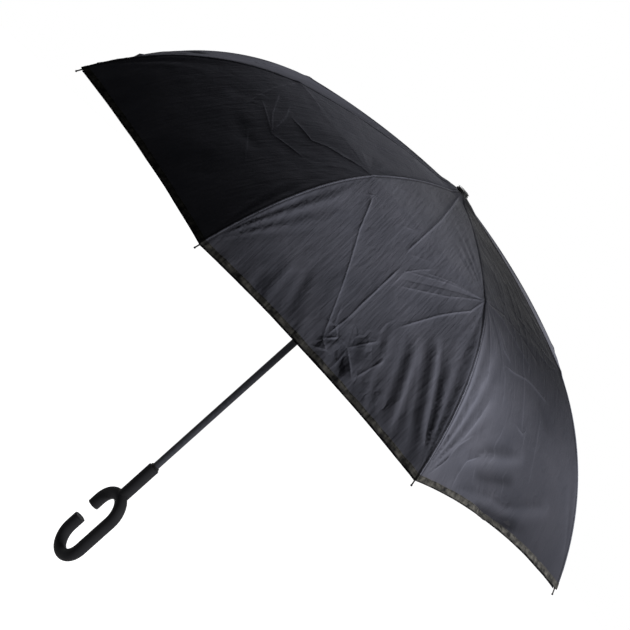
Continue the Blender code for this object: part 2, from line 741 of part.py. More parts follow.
def build_umbrella():
    clear_scene()
    cloth_black = make_material("cloth_black", (0.045, 0.046, 0.055), 0.55)
    lining_black = make_material("lining_black", (0.030, 0.030, 0.034), 0.65)
    shaft_black = make_material("shaft_black_enamel", (0.035, 0.036, 0.042), 0.28, 0.6)
    grip_black = make_material("grip_soft_black", (0.012, 0.012, 0.014), 0.62)
    plastic_black = make_material("plastic_black", (0.008, 0.008, 0.009), 0.40)
    steel_black = make_material("stretcher_black_steel", (0.05, 0.05, 0.055), 0.35, 0.8)
    wire_steel = make_material("wire_steel", (0.55, 0.55, 0.57), 0.3, 1.0)
    rod_glassfibre = make_material("rod_glassfibre", (0.02, 0.02, 0.022), 0.5)

    add_object("shaft_tube", shaft_mesh(), shaft_black)
    add_object("handle_loop", loop_mesh("handle_loop"), grip_black)
    add_object("handle_stem", stem_mesh(), grip_black)
    add_object("stem_collar", collar_mesh(), plastic_black)
    notch = add_object("top_notch", notch_mesh(), plastic_black)
    notch.location = (0, 0, NOTCH_Z)
    notch_ring = add_object("notch_ring", ring_mesh("notch_ring"), wire_steel)
    notch_ring.location = (0, 0, NOTCH_Z)
    add_object("top_cap", cap_mesh(), plastic_black)
    outer_joint_ring = len(STRETCHER_RING_SHARES) + 2
    lining_joint_ring = len(LINING_RING_SHARES) + 1
    outer_cloth = cloth_mesh("outer_canopy", outer_rings, 2, outer_joint_ring - 1)
    add_object("outer_canopy", outer_cloth, cloth_black)
    lining_cloth = cloth_mesh("lining", lining_rings, 1, lining_joint_ring)
    add_object("lining", lining_cloth, lining_black)
    catch = add_object("shaft_catch", catch_mesh(), wire_steel)
    catch.location = (0, 0, CATCH_TOP_Z)
    catch.rotation_euler = (0, 0, CATCH_ANGLE)

    start = turned(RUNNER_PIVOT, FIRST_RIB_ANGLE)
    runner_pivot = add_empty("runner_pivot", start)
    runner = add_object("runner", runner_mesh(), plastic_black, runner_pivot)
    runner_ring = add_object("runner_ring", ring_mesh("runner_ring"), wire_steel, runner_pivot)
    for piece in (runner, runner_ring):
        piece.location = (-start.x, -start.y, 0)

    inner_rod = rod_length_mesh("rod_inner", FERRULE_SHARE, MIDDLE_SHARE, FERRULE)
    outer_rod = rod_length_mesh("rod_outer", MIDDLE_SHARE, SOCKET_SHARE, MIDDLE)
    pieces = [
        ("stretcher", stretcher_mesh(), steel_black, NOTCH_PIVOT),
        ("joint_rivet", rivet_mesh(), wire_steel, NOTCH_PIVOT),
        ("rib", rib_mesh(), steel_black, JOINT),
        ("rod_inner", inner_rod, rod_glassfibre, FERRULE),
        ("rod_outer", outer_rod, rod_glassfibre, MIDDLE),
        ("rib_tip", tip_mesh(), plastic_black, MIDDLE),
    ]
    for index in range(RIB_COUNT):
        turn = FIRST_RIB_ANGLE + 2 * math.pi * index / RIB_COUNT
        rib_frame = add_empty(f"rib_frame_{index + 1}", (0, 0, 0), turn)
        for name, mesh, material, origin in pieces:
            piece = add_object(f"{name}_{index + 1}", mesh, material, rib_frame)
            piece.location = (origin.x, 0, origin.y)


build_umbrella()
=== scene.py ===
import json
import math

import bpy
import numpy as np
from mathutils import Matrix, Quaternion, Vector
from mathutils.geometry import delaunay_2d_cdt


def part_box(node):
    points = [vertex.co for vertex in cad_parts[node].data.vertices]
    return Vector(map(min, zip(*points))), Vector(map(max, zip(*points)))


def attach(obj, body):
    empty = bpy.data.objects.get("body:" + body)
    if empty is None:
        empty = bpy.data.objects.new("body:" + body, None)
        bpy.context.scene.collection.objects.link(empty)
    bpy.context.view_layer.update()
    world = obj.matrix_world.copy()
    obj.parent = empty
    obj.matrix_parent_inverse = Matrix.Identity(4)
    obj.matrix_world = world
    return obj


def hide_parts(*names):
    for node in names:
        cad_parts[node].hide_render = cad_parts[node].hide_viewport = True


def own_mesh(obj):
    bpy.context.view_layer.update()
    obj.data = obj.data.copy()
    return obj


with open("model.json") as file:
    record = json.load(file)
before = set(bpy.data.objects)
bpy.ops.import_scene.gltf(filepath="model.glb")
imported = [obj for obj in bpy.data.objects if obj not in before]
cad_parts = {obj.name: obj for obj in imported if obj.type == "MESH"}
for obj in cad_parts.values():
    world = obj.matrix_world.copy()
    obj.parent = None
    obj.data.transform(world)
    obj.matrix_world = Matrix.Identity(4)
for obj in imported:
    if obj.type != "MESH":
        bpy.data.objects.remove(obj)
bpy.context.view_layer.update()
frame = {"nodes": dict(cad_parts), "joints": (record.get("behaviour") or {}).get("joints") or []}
nodes = frame["nodes"]
joints = {joint["name"]: joint for joint in frame["joints"]}
print("frame loaded:", len(nodes), "nodes")

millimetre = 0.001
ribCount = 8
pitchAngle = 2 * math.pi / ribCount


# The photograph's view, fitted to four rib tips, the cap and the handle

viewpoint = dict(place=(2.6495, -1.9308, 0.8252), aim=(-0.0056, -0.0078, 0.3940), roll=48.156,
                 lens=131.23, sensor=36)


def makeCamera():
    data = bpy.data.cameras.new("camera")
    data.lens = viewpoint["lens"]
    data.sensor_width = viewpoint["sensor"]
    data.clip_start = 0.05
    data.clip_end = 60
    camera = bpy.data.objects.new("camera", data)
    bpy.context.scene.collection.objects.link(camera)
    camera.location = viewpoint["place"]
    look = Vector(viewpoint["aim"]) - Vector(viewpoint["place"])
    camera.rotation_mode = "QUATERNION"
    roll = Quaternion((0, 0, 1), math.radians(viewpoint["roll"]))
    camera.rotation_quaternion = look.to_track_quat("-Z", "Y") @ roll
    bpy.context.scene.camera = camera


makeCamera()


# Materials

def newMaterial(name):
    material = bpy.data.materials.new(name)
    material.use_nodes = True
    tree = material.node_tree
    return material, tree, tree.nodes["Principled BSDF"]


def addNode(tree, kind, values=None, **settings):
    # a node with its settings, and with its inputs given by name or number
    node = tree.nodes.new("ShaderNode" + kind)
    for key, value in settings.items():
        setattr(node, key, value)
    for key, value in (values or {}).items():
        if isinstance(value, bpy.types.NodeSocket):
            tree.links.new(value, node.inputs[key])
        else:
            node.inputs[key].default_value = value
    return node


def sums(tree, kind, *values):
    # one maths node, as a socket
    return addNode(tree, "Math", dict(enumerate(values)), operation=kind).outputs[0]


def setUniform(shader, **values):
    names = dict(metallic="Metallic", ior="Specular IOR Level", sheen="Sheen Weight",
                 sheenRoughness="Sheen Roughness", coat="Coat Weight", coatRoughness="Coat Roughness")
    for key, value in values.items():
        shader.inputs[names[key]].default_value = value


def ranged(tree, value, low, high, lowTo, highTo):
    # value brought from the range low to high to the range lowTo to highTo
    return addNode(tree, "MapRange", {0: value, 1: low, 2: high, 3: lowTo, 4: highTo}).outputs[0]


def noiseSpread(tree, coordinates, scale, low, high, detail=3):
    # noise brought to the range low to high
    noise = addNode(tree, "TexNoise", {"Vector": coordinates, "Scale": scale, "Detail": detail})
    return ranged(tree, noise.outputs[0], 0.3, 0.7, low, high)


def mixColours(tree, factor, first, second):
    mix = addNode(tree, "Mix", {0: factor, 6: first, 7: second}, data_type="RGBA")
    return mix.outputs[2]


def attributeOf(tree, name):
    return addNode(tree, "Attribute", attribute_name=name).outputs["Fac"]


def vectors(tree, operation, values):
    # one vector maths node, as a socket
    return addNode(tree, "VectorMath", values, operation=operation).outputs[0]


def raised(tree, height, strength, distance, normal=None):
    values = {"Height": height, "Strength": strength, "Distance": distance}
    if normal:
        values["Normal"] = normal
    return addNode(tree, "Bump", values).outputs[0]


clothFinish = dict(colour=(0.092, 0.093, 0.113), shade=(0.074, 0.076, 0.094), band=(0.068, 0.065, 0.058),
                   bandDark=(0.012, 0.012, 0.012), thread=(0.014, 0.014, 0.015), roughness=(0.44, 0.54),
                   threadPitch=0.00055, bandWidth=0.0094, stitchPitch=0.0032, wrinkle=0.0015,
                   crumple=0.0044)
liningFinish = dict(clothFinish, colour=(0.034, 0.033, 0.038), shade=(0.027, 0.027, 0.031),
                    band=(0.030, 0.030, 0.034), bandDark=(0.018, 0.018, 0.020),
                    thread=(0.012, 0.012, 0.013), roughness=(0.56, 0.66), threadPitch=0.0006,
                    wrinkle=0.0009, crumple=0.0030)

# Sewn lines, by their distance from the rib or the hem in metres, and how much they change the colour;
# the pale seam ridge is a painted highlight and the dark line beside it painted shade
sewing = dict(ridgeWidth=0.0012, ridgeHighlight=1.5, seamSide=0.0028, seamCore=0.0003, seamWidth=0.0016,
              seamGrooveShade=0.55, bandEdge=0.0006, bandFade=0.0022, stitchHalf=0.00030, stitchShare=0.72,
              hemStitch=0.0014, ribStitch=0.0021, stitchRise=2.5)

# The cloth's grain: noise scales over the flat gore in metres, and the depth of each relief
grain = dict(patch=14, worn=120, gloss=35, slub=900, drawn=(230, 17, 1), wrinkle=0.5,
             push=42.0, pushReach=0.030, facetStretch=(1.3, 0.5, 1), facets=36.0,
             weave=0.12, weaveDepth=0.00012)


def stitchLine(tree, distance, along, at, pitch):
    off = sums(tree, "ABSOLUTE", sums(tree, "SUBTRACT", distance, at))
    onLine = sums(tree, "LESS_THAN", off, sewing["stitchHalf"])
    turn = sums(tree, "FRACT", sums(tree, "DIVIDE", along, pitch))
    return sums(tree, "MULTIPLY", onLine, sums(tree, "LESS_THAN", turn, sewing["stitchShare"]))


def clothColour(tree, place, hem, rib, stitches, finish):
    patch = noiseSpread(tree, place, grain["patch"], 0, 1)
    colour = mixColours(tree, patch, (*finish["colour"], 1), (*finish["shade"], 1))
    # painted light and shade: each gore is paler or darker where more or less light would fall on it,
    # paler along the tops of folds and darker in hollows
    colour = vectors(tree, "SCALE", {0: colour, "Scale": attributeOf(tree, "paintedShading")})
    # the seam over a rib is a thin pale ridge with a painted highlight, and a dark line of painted shade
    # in the groove beside it
    ridge = ranged(tree, rib, 0.0, sewing["ridgeWidth"], sewing["ridgeHighlight"], 1.0)
    beside = sums(tree, "ABSOLUTE", sums(tree, "SUBTRACT", rib, sewing["seamSide"]))
    beside = ranged(tree, beside, sewing["seamCore"], sewing["seamWidth"], sewing["seamGrooveShade"], 1.0)
    colour = vectors(tree, "SCALE", {0: colour, "Scale": sums(tree, "MULTIPLY", ridge, beside)})
    # the folded hem band is mottled, with a dark edge
    width = finish["bandWidth"]
    onBand = ranged(tree, hem, width, width - sewing["bandEdge"], 0.0, 1.0)
    worn = noiseSpread(tree, place, grain["worn"], -0.1, 1.0, detail=6)
    edge = ranged(tree, hem, sewing["bandEdge"], sewing["bandFade"], 0.0, 1.0)
    worn = sums(tree, "MINIMUM", worn, edge)
    band = mixColours(tree, worn, (*finish["bandDark"], 1), (*finish["band"], 1))
    colour = mixColours(tree, onBand, colour, band)
    return mixColours(tree, stitches, colour, (*finish["thread"], 1))


def clothRelief(tree, place, across, down, stitches, finish):
    # fine wrinkles drawn down the gore
    drawn = vectors(tree, "MULTIPLY", {0: place, 1: grain["drawn"]})
    wrinkle = addNode(tree, "TexNoise", {"Vector": drawn, "Scale": 1.0, "Detail": 4, "Roughness": 0.55})
    wrinkled = raised(tree, wrinkle.outputs[0], grain["wrinkle"], finish["wrinkle"])
    # sharp little facets where the cloth is crumpled
    push = addNode(tree, "TexNoise", {"Vector": place, "Scale": grain["push"], "Detail": 2})
    spread = vectors(tree, "SCALE", {0: push.outputs["Color"], "Scale": grain["pushReach"]})
    moved = vectors(tree, "ADD", {0: place, 1: spread})
    moved = vectors(tree, "MULTIPLY", {0: moved, 1: grain["facetStretch"]})
    facets = addNode(tree, "TexVoronoi", {"Vector": moved, "Scale": grain["facets"]},
                     feature="DISTANCE_TO_EDGE").outputs[0]
    creases = sums(tree, "MULTIPLY", facets, attributeOf(tree, "crumple"))
    crumpled = raised(tree, creases, 1.0, finish["crumple"], wrinkled)
    # plain weave: threads that pass over and under each other
    pace = 2 * math.pi / finish["threadPitch"]
    warp = sums(tree, "SINE", sums(tree, "MULTIPLY", across, pace))
    weft = sums(tree, "SINE", sums(tree, "MULTIPLY", down, pace))
    slub = noiseSpread(tree, place, grain["slub"], 0.6, 1.0)
    weave = sums(tree, "MULTIPLY", sums(tree, "MULTIPLY", warp, weft), slub)
    height = sums(tree, "ADD", weave, sums(tree, "MULTIPLY", stitches, sewing["stitchRise"]))
    return raised(tree, height, grain["weave"], grain["weaveDepth"], crumpled)


def clothMaterial(name, finish, shine, sheen):
    material, tree, shader = newMaterial(name)
    place = addNode(tree, "UVMap", uv_map="cloth").outputs[0]
    across, down = addNode(tree, "SeparateXYZ", {0: place}).outputs[:2]
    hem = attributeOf(tree, "hemDistance")
    rib = attributeOf(tree, "ribDistance")
    pitch = finish["stitchPitch"]
    hemStitch = stitchLine(tree, hem, across, finish["bandWidth"] - sewing["hemStitch"], pitch)
    ribStitch = stitchLine(tree, rib, down, sewing["ribStitch"], pitch)
    stitches = sums(tree, "MAXIMUM", hemStitch, ribStitch)
    tree.links.new(clothColour(tree, place, hem, rib, stitches, finish), shader.inputs["Base Color"])
    gloss = noiseSpread(tree, place, grain["gloss"], *finish["roughness"])
    tree.links.new(gloss, shader.inputs["Roughness"])
    relief = clothRelief(tree, place, across, down, stitches, finish)
    tree.links.new(relief, shader.inputs["Normal"])
    setUniform(shader, ior=shine, sheen=sheen, sheenRoughness=0.35)
    return material


gripFinish = dict(colour=(0.021, 0.021, 0.023), rubbed=(0.031, 0.031, 0.034), grain=2600)
enamelFinish = dict(colour=(0.034, 0.035, 0.042), worn=(0.055, 0.057, 0.066))
plasticFinish = dict(colour=(0.009, 0.009, 0.0095), scuffed=(0.022, 0.022, 0.023))
steelFinish = dict(colour=(0.030, 0.030, 0.033), worn=(0.20, 0.20, 0.21))
wireFinish = dict(colour=(0.50, 0.50, 0.52), dull=(0.30, 0.30, 0.31))
glassFinish = dict(colour=(0.016, 0.016, 0.018), fibre=(0.036, 0.036, 0.038))


def edgeWear(tree, radius, low, high):
    # a mask of corners and edges, from how far a rounded normal turns off the real one
    bevel = addNode(tree, "Bevel", {"Radius": radius}, samples=6)
    normal = addNode(tree, "NewGeometry").outputs["Normal"]
    match = addNode(tree, "VectorMath", {0: bevel.outputs[0], 1: normal}, operation="DOT_PRODUCT")
    return ranged(tree, match.outputs["Value"], high, low, 0.0, 1.0)


def hardMaterial(name, base, second, patchScale, roughness, grainScale, grainDepth, wearRadius=0,
                 **uniform):
    # moulded, painted or drawn stuff: a patchy base with rubbed edges and fine grain
    material, tree, shader = newMaterial(name)
    place = addNode(tree, "TexCoord").outputs["Object"]
    patch = noiseSpread(tree, place, patchScale, 0.0, 0.5)
    if wearRadius:
        scuffs = noiseSpread(tree, place, patchScale * 6, 0.2, 1.0)
        rubbed = sums(tree, "MULTIPLY", scuffs, edgeWear(tree, wearRadius, 0.86, 0.99))
        patch = sums(tree, "MAXIMUM", patch, rubbed)
    colour = mixColours(tree, patch, (*base, 1), (*second, 1))
    tree.links.new(colour, shader.inputs["Base Color"])
    tree.links.new(noiseSpread(tree, place, patchScale * 2.3, *roughness), shader.inputs["Roughness"])
    pores = addNode(tree, "TexNoise", {"Vector": place, "Scale": grainScale, "Detail": 4})
    tree.links.new(raised(tree, pores.outputs[0], 0.35, grainDepth), shader.inputs["Normal"])
    setUniform(shader, **uniform)
    return material


def drawnMaterial(name, base, second, roughness, lineScale, lineDepth, **uniform):
    # strip, wire or rod with fine lines along its run
    material, tree, shader = newMaterial(name)
    place = addNode(tree, "TexCoord").outputs["Object"]
    lines = addNode(tree, "TexNoise", {"Vector": place, "Scale": lineScale, "Detail": 5,
                                       "Distortion": 0.4})
    spread = ranged(tree, lines.outputs[0], 0.35, 0.75, 0.0, 1.0)
    tree.links.new(mixColours(tree, spread, (*base, 1), (*second, 1)), shader.inputs["Base Color"])
    tree.links.new(noiseSpread(tree, place, lineScale / 3, *roughness), shader.inputs["Roughness"])
    tree.links.new(raised(tree, lines.outputs[0], 0.3, lineDepth), shader.inputs["Normal"])
    setUniform(shader, **uniform)
    return material


outerCloth = clothMaterial("satin polyester", clothFinish, shine=0.0, sheen=0.05)
liningCloth = clothMaterial("lining polyester", liningFinish, shine=0.0, sheen=0.05)
gripRubber = hardMaterial("soft grip", gripFinish["colour"], gripFinish["rubbed"], 40, (0.52, 0.64),
                          gripFinish["grain"], 0.00008, wearRadius=0.0008, ior=0.02, sheen=0.0)
blackPlastic = hardMaterial("moulded plastic", plasticFinish["colour"], plasticFinish["scuffed"], 90,
                            (0.34, 0.46), 1800, 0.00005, wearRadius=0.0004, ior=0.06)
shaftEnamel = drawnMaterial("shaft enamel", enamelFinish["colour"], enamelFinish["worn"], (0.26, 0.36),
                            220, 0.00003, ior=0.06)
barSteel = drawnMaterial("coated strip", steelFinish["colour"], steelFinish["worn"], (0.32, 0.46),
                         480, 0.00004, metallic=0.55)
ringWire = drawnMaterial("drawn wire", wireFinish["dull"], wireFinish["colour"], (0.22, 0.36),
                         900, 0.00003, metallic=1.0)
rodGlass = drawnMaterial("glass fibre rod", glassFinish["colour"], glassFinish["fibre"], (0.38, 0.5),
                         1300, 0.00003, coat=0.2, coatRoughness=0.3)
print("materials made")


# The linkage, read from the frame: places in a rib's plane are (distance from the shaft, height)

def planePoint(jointName):
    x, y, z = joints[jointName]["pos_m"]
    return np.array([math.hypot(x, y), z])


def ribAngle(index):
    x, y, _ = joints["rib_turn_%d" % (index + 1)]["pos_m"]
    return math.atan2(y, x)


notchPivot = planePoint("canopy_fold")
armJoint = planePoint("rib_turn_1")
rodMiddle = planePoint("rod_unbend_1")
runnerPivot = planePoint("runner_level")
ribAngles = [ribAngle(index) for index in range(ribCount)]

linkage = dict(stretcherBend=math.radians(12.9), rodBend=math.radians(42.6),
               tipRadius=0.520, tipHeight=0.402, apexHeight=0.668,
               notchRadius=0.0135, holeRadius=0.0062, liningGap=0.0006, hemInset=0.009)
tipEnd = np.array([linkage["tipRadius"], linkage["tipHeight"]])


def arcPoints(start, end, bend, shares):
    # points and upward normals on an arc that turns downwards from start to end
    chord = end - start
    radius = np.hypot(*chord) / (2 * math.sin(bend / 2))
    shares = np.asarray(shares)
    heading = math.atan2(chord[1], chord[0]) + (bend - bend * shares) / 2
    reach = 2 * radius * np.sin(bend * shares / 2)
    points = start + reach[:, None] * np.stack([np.cos(heading), np.sin(heading)], 1)
    turned = math.atan2(chord[1], chord[0]) + bend / 2 - bend * shares
    return points, np.stack([-np.sin(turned), np.cos(turned)], 1), radius * bend


def smoothStep(value):
    value = np.clip(value, 0, 1)
    return value * value * (3 - 2 * value)


# The cloth's line in a rib's plane, looked up by its length from the top, with its corners eased

class RibLine:
    def __init__(self, points, easing, count=900):
        points = np.array(points)
        steps = np.hypot(*np.diff(points, axis=0).T)
        length = np.concatenate([[0], np.cumsum(steps)])
        even = np.linspace(0, length[-1], count)
        dense = np.stack([np.interp(even, length, points[:, k]) for k in (0, 1)], 1)
        half = max(int(easing / (even[1] - even[0])), 1)
        window = np.hanning(2 * half + 3)[1:-1]
        window /= window.sum()
        padded = np.concatenate([2 * dense[0] - dense[half:0:-1], dense,
                                 2 * dense[-1] - dense[-2:-half - 2:-1]])
        self.points = np.stack([np.convolve(padded[:, k], window, "valid") for k in (0, 1)], 1)
        steps = np.hypot(*np.diff(self.points, axis=0).T)
        self.length = np.concatenate([[0], np.cumsum(steps)])
        slope = np.gradient(self.points, axis=0)
        self.slopes = slope / np.hypot(*slope.T)[:, None]

    def full(self):
        return float(self.length[-1])

    def at(self, down):
        return np.stack([np.interp(down, self.length, self.points[:, k]) for k in (0, 1)], -1)

    def slopeAt(self, down):
        return np.stack([np.interp(down, self.length, self.slopes[:, k]) for k in (0, 1)], -1)

    def halfWidth(self, down):
        return np.interp(down, self.length, self.points[:, 0]) * math.sin(pitchAngle / 2)

    def downToRadius(self, radius):
        return float(np.interp(radius, self.points[:, 0], self.length))


rodRun = arcPoints(armJoint, tipEnd, linkage["rodBend"], [0.0])[2]
hemShare = 1 - linkage["hemInset"] / rodRun
ease = dict(overBar=3.0, overRod=2.3, underRib=2.1, underJoint=2.8, underRod=2.1, topDrop=0.1, corner=8.0)
ease = {key: value * millimetre for key, value in ease.items()}


def rodPoints():
    # the rod from just past its bracket to the hem
    return arcPoints(armJoint, tipEnd, linkage["rodBend"], np.linspace(0.03, 1, 60) * hemShare)[:2]


def outerLine():
    shares = np.linspace(0.10, 1, 40)
    bars, barNormals, _ = arcPoints(notchPivot, armJoint, linkage["stretcherBend"], shares)
    rods, rodNormals = rodPoints()
    top = linkage["apexHeight"] - ease["topDrop"]
    middle = [[linkage["holeRadius"], top], [linkage["notchRadius"], top]]
    over = [bars + barNormals * ease["overBar"], rods + rodNormals * ease["overRod"]]
    return RibLine(np.concatenate([middle, *over]), ease["corner"])


def liningLine():
    reach = armJoint - runnerPivot
    inner = linkage["notchRadius"] + linkage["liningGap"] - runnerPivot[0]
    shares = np.linspace(inner / reach[0], 1, 30)
    arm = runnerPivot + shares[:, None] * reach
    direction = reach / np.hypot(*reach)
    drop = ease["underRib"] + (ease["underJoint"] - ease["underRib"]) * smoothStep((shares - 0.9) / 0.1)
    arm = arm + np.outer(drop, [direction[1], -direction[0]])
    rods, rodNormals = rodPoints()
    return RibLine(np.concatenate([arm, rods - rodNormals * ease["underRod"]]), ease["corner"])


# A gore is drawn flat, x across from its middle and y down from the top, in metres, and cut into
# triangles that follow its folds. Fold lists give places as (across, down) shares: across is -1 at
# the gore's first rib and 1 at its next, down is 0 at the top and 1 at the hem. Heights and widths
# are in millimetres, and a height above 0 stands out of the canopy.

weaving = dict(spacing=5.2, foldStep=2.6, ribStep=4.0, hemStep=2.6, thickness=0.4, topFade=(16, 34))
# what is sewn into the shape, in millimetres from the hem, the rib or the joint
sewn = dict(hemFold=9.9, foldEdge=0.9, hemStitch=8.0, stitchWidth=0.55, seamWidth=1.15, grooveAt=2.9,
            grooveWidth=1.2, knuckle=5.5)
hemRows = (0.7, 1.5, 3.0, 5.0, 6.8, 7.6, 8.4, 9.2, 10.0, 12.5, 15.5)
ribColumns = (1.0, 2.2, 3.8, 6.0)


def wander(values, seed, wavelength, count=5):
    # smooth noise between about -1 and 1 along one direction
    random = np.random.default_rng(seed)
    total = np.zeros_like(values)
    for _ in range(count):
        pace = values * 2 * math.pi / wavelength * random.uniform(0.55, 1.6)
        total += np.sin(pace + random.uniform(0, 6.3))
    return total / math.sqrt(count)


def wanderFlat(x, y, seed, wavelength, count=7):
    # smooth noise over the flat gore
    random = np.random.default_rng(seed)
    total = np.zeros_like(x)
    for _ in range(count):
        turn = random.uniform(0, math.pi)
        pace = 2 * math.pi / wavelength * random.uniform(0.6, 1.5)
        total += np.sin((x * math.cos(turn) + y * math.sin(turn)) * pace + random.uniform(0, 6.3))
    return total / math.sqrt(count)


def pathInMetres(line, path):
    path = np.array(path, float)
    down = path[:, 1] * line.full()
    down = np.clip(down, 0.014, line.full() - 0.0009)
    wide = line.halfWidth(down)
    across = np.clip(path[:, 0] * wide, -(wide - 0.0016), wide - 0.0016)
    return np.stack([across, down], 1)


def evenly(path, step):
    lengths = np.concatenate([[0], np.cumsum(np.hypot(*np.diff(path, axis=0).T))])
    count = max(int(round(lengths[-1] / step)), 1) + 1
    even = np.linspace(0, lengths[-1], count)
    return np.stack([np.interp(even, lengths, path[:, k]) for k in (0, 1)], 1)


def besidePath(path, offset):
    heading = np.gradient(path, axis=0)
    heading /= np.hypot(*heading.T)[:, None] + 1e-12
    return path + np.stack([-heading[:, 1], heading[:, 0]], 1) * offset


def alongPath(x, y, path):
    # distance to a path, and length along it, for every point
    nearest = np.full(x.shape, 1e9)
    reached = np.zeros(x.shape)
    start = 0.0
    for first, second in zip(path, path[1:]):
        step = second - first
        length = np.hypot(*step)
        share = np.clip(((x - first[0]) * step[0] + (y - first[1]) * step[1]) / length ** 2, 0, 1)
        away = np.hypot(x - first[0] - share * step[0], y - first[1] - share * step[1])
        closer = away < nearest
        nearest[closer] = away[closer]
        reached[closer] = start + share[closer] * length
        start += length
    return nearest, reached, start


def faded(reached, length, margin, fade):
    # 1 along a path, down to 0 past both of its ends
    return smoothStep((reached + margin) / fade) * smoothStep((length - reached + margin) / fade)


def cornerOf(line, name):
    # a gore's corner in the flat: its place, the way up its rib and the way in from it
    side = -1 if "left" in name else 1
    down = line.full() if "tip" in name else line.jointDown
    place = np.array([side * line.halfWidth(down), down])
    above = down - 0.06
    up = np.array([side * line.halfWidth(above), above]) - place
    up /= np.hypot(*up)
    inward = np.array([up[1], -up[0]])
    if inward[0] * side > 0:
        inward = -inward
    return place, up, inward


def streakHeight(line, x, y, streak):
    # a tension fold that runs out from a corner like a spoke
    corner, angle, spread, height, start, end = streak
    place, up, inward = cornerOf(line, corner)
    dx, dy = x - place[0], y - place[1]
    turn = np.degrees(np.arctan2(dx * inward[0] + dy * inward[1], dx * up[0] + dy * up[1]))
    reach = np.hypot(dx, dy) / millimetre
    rise = smoothStep(reach / start) * smoothStep((end - reach) / (0.55 * end))
    rise *= smoothStep(math.radians(spread) * reach / 2.4)
    return height * np.exp(-((turn - angle) / max(spread, 1.4)) ** 2) * rise


def streakPoints(line, streak):
    corner, angle, spread, _, start, end = streak
    place, up, inward = cornerOf(line, corner)
    found = []
    for turn, step in ((angle, 5.0), (angle - 1.1 * spread, 6.5), (angle + 1.1 * spread, 6.5)):
        reaches = np.arange(0.35 * start, 0.92 * end, step) * millimetre
        way = up * math.cos(math.radians(turn)) + inward * math.sin(math.radians(turn))
        found.append(place + reaches[:, None] * way)
    return np.concatenate(found)


def goreHeight(line, x, y, style):
    # how far the cloth stands out of its even surface, in millimetres
    full = line.full()
    wide = np.maximum(line.halfWidth(y), 1e-6)
    across = np.clip(x / wide, -1, 1)
    fromRib = (wide - np.abs(x)) / millimetre
    fromHem = (full - y) / millimetre
    inside = 1 - across ** 2
    pastJoint = np.clip((y - line.jointDown) / (full - line.jointDown), 0, 1)
    height = -style["sag"] * inside * np.sin(math.pi * pastJoint ** 0.9) ** 2
    height -= style["dip"] * inside * np.sin(math.pi * np.clip(y / line.jointDown, 0, 1)) ** 2
    body = np.zeros_like(x)
    for folds, profile in ((style["folds"], "crisp"), (style["hollows"], "soft")):
        for tall, width, path in folds:
            away, reached, length = alongPath(x, y, pathInMetres(line, path))
            away = away / millimetre
            fade = 0.022 if profile == "crisp" else 0.050
            ends = faded(reached, length, 0.002, min(0.35 * length, fade))
            if profile == "crisp":
                shape = np.exp(-away / (0.62 * width)) + 0.40 * np.exp(-(away / (4.5 * width)) ** 2)
                ends = (0.25 + 0.75 * ends) * faded(reached, length, 0.004, 0.006)
            else:
                shape = np.exp(-(away / width) ** 2)
            body += tall * shape * ends
    for streak in style["streaks"]:
        body += style["streakRelief"] * streakHeight(line, x, y, streak)
    body *= style["relief"]
    body += wanderFlat(x, y, style["seed"], 0.110) * style["swell"]
    body += wanderFlat(x, y, style["seed"] + 1, 0.034) * style["rumple"]
    low, high = weaving["topFade"]
    body *= smoothStep((line.at(y)[:, 0] / millimetre - low) / (high - low))
    body *= smoothStep(fromRib / 5.0)
    height += body
    waves = wander(x, style["seed"] + 2, 0.052) * style["hemWave"] * np.exp(-fromHem / 26)
    height += waves * smoothStep(fromRib / 30)
    puckers = wander(x, style["seed"] + 3, 0.0085) * style["pucker"] * np.exp(-((fromHem - 6) / 6.5) ** 2)
    height += puckers * smoothStep(fromRib / 6)
    # the hem is turned over and sewn, and the gores meet in a raised seam over the ribs
    turned = smoothStep((sewn["hemFold"] - fromHem) / sewn["foldEdge"])
    turned *= smoothStep((fromHem + 0.5) / 1.2)
    sunk = np.exp(-((fromHem - sewn["hemStitch"]) / sewn["stitchWidth"]) ** 2)
    height += style["hemFold"] * (turned - 0.8 * sunk)
    ridge = np.exp(-(fromRib / sewn["seamWidth"]) ** 2)
    groove = np.exp(-((fromRib - sewn["grooveAt"]) / sewn["grooveWidth"]) ** 2)
    height += style["seam"] * (ridge - 0.45 * groove) * smoothStep((y / millimetre - 12) / 10)
    fromJoint = np.hypot(fromRib, (y - line.jointDown) / millimetre)
    height += style["knuckle"] * np.exp(-(fromJoint / sewn["knuckle"]) ** 2)
    height *= millimetre
    if "above" in style:
        # a lower layer keeps clear of the layer above it
        upper = line.above
        share = (y - line.jointDown) / (full - line.jointDown)
        high = upper.jointDown + share * (upper.full() - upper.jointDown)
        lift = goreHeight(upper, across * upper.halfWidth(high), high, style["above"])
        apart = ease["overRod"] + ease["underRod"] - style["clear"] * millimetre
        clear = np.where(y > line.jointDown, -lift - apart, -1)
        height = np.maximum(height, clear)
    return height


# painted light and shade: where the values down each gore are placed, and how much paler or darker folds,
# streaks and hollows are painted
paintedShadeTone = dict(places=(0.0, 0.487, 0.74, 1.0), steps=41, crease=0.50, drawn=0.26, hollow=0.10)


def smoothShadeDown(down, fall):
    # painted shade down the gore: values at the top, the joints, the middle of the skirt and the hem,
    # joined without corners
    shares = np.linspace(0, 1, paintedShadeTone["steps"])
    window = np.hanning(11)[1:-1]
    around = np.pad(np.interp(shares, paintedShadeTone["places"], fall), 4, mode="edge")
    return np.interp(down, shares, np.convolve(around, window / window.sum(), mode="valid"))


